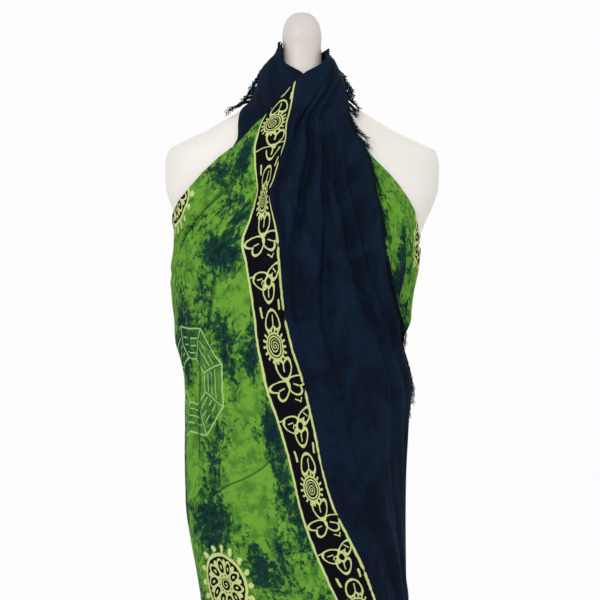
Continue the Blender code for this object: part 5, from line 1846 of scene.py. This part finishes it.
def make_knot(material):
    """The knot: a rounded body with the cloth's pleats wound over it aslant."""
    centre = np.array(KNOT_CENTRE)
    half = np.array(KNOT_HALF) - KNOT_INSET
    tilt = np.linspace(0, math.pi, KNOT_RINGS)[:, None]
    turn = np.linspace(0, 2 * math.pi, KNOT_SIDES + 1)[None, :]
    outward = (-np.cos(tilt) + 0 * turn, np.sin(tilt) * np.cos(turn), np.sin(tilt) * np.sin(turn))
    way = np.stack(outward, axis=-1)
    size = (np.abs(way) ** KNOT_POWER).sum(axis=-1) ** (-1 / KNOT_POWER)
    wound = turn + KNOT_WINDING * tilt
    broad = BROAD_PLEATS[1] * np.abs(np.sin(BROAD_PLEATS[0] * wound))
    fine = FINE_PLEATS[1] * np.abs(np.sin(FINE_PLEATS[0] * wound + 0.8 * np.sin(3 * tilt)))
    shape = 1 - KNOT_SHRINK + (broad + fine - 0.01) * np.sin(tilt)
    points = centre + half * way * (size * shape)[..., None]
    places = np.stack([0.02 + 0.10 * turn / (2 * math.pi) + 0 * tilt, 0.1 * tilt + 0 * turn], axis=-1)
    number = np.arange(points.shape[0] * points.shape[1]).reshape(points.shape[:2])
    faces = np.stack([number[:-1, :-1], number[:-1, 1:], number[1:, 1:], number[1:, :-1]], axis=-1)
    flat_places = places.reshape(-1, 2)
    piece = add_mesh("wound_knot", points.reshape(-1, 3), faces.reshape(-1, 4), material, flat_places)
    bm = bmesh.new()
    bm.from_mesh(piece.data)
    bmesh.ops.remove_doubles(bm, verts=bm.verts, dist=1e-6)
    bmesh.ops.recalc_face_normals(bm, faces=bm.faces)
    bm.to_mesh(piece.data)
    bm.free()
    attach(piece, "root")
    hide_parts("knot")


def make_tail(node, side, material):
    """A tail of the knot: a fluted corner of the cloth that flares down over the back."""
    lean, half_width = column_curves(TAIL_SECTIONS)
    down = np.linspace(0, 1, TAIL_ROWS + 1)[:, None]
    across = np.linspace(-1, 1, TAIL_COLUMNS + 1)[None, :]
    height = TAIL_TOP - TAIL_DROP * down * (1 - TAIL_SKEW * across * side)
    centre = np.radians(180 + side * lean(down))
    radius = drape_radius(centre, height)
    turn = centre + half_width(down) * across / radius
    flute = TAIL_FOLD * down * np.cos(TAIL_FLUTES * math.pi * across)
    pleat = np.cos(FINE_FLUTES * math.pi * across + FINE_FLUTE_DRIFT * down)
    flute = flute + FINE_FLUTE_HEIGHT * pleat * np.clip(down * 3, 0.3, 1)
    radius = drape_radius(turn, height) + TAIL_LIFT + flute
    places = np.stack([0.09 + 0.06 * across + 0 * down, 0.08 * down + 0 * across], axis=-1)
    piece = add_cloth("hanging_" + node, ring_points(turn, height, radius), places, material)
    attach(piece, "root")
    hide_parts(node)


def finish_stand(material):
    """Give the stand's solids their steel."""
    for node in ("form_socket", "stand_pole", "stand_collar", "stand_base"):
        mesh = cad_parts[node].data
        mesh.materials.clear()
        mesh.materials.append(material)


whole_print = batik_finish("batik_rayon")
field_print = batik_finish("batik_rayon_field", band=False, patches=False)
navy_rayon = navy_finish()
thread = thread_finish()

over_grid, under_grid = make_panels(whole_print, field_print)
make_straps(navy_rayon)
make_knot(navy_rayon)
make_tail("tail_left", 1, navy_rayon)
make_tail("tail_right", -1, navy_rayon)
make_fringes(over_grid, under_grid, thread)
make_form(form_finish())
finish_stand(steel_finish())
make_stage()
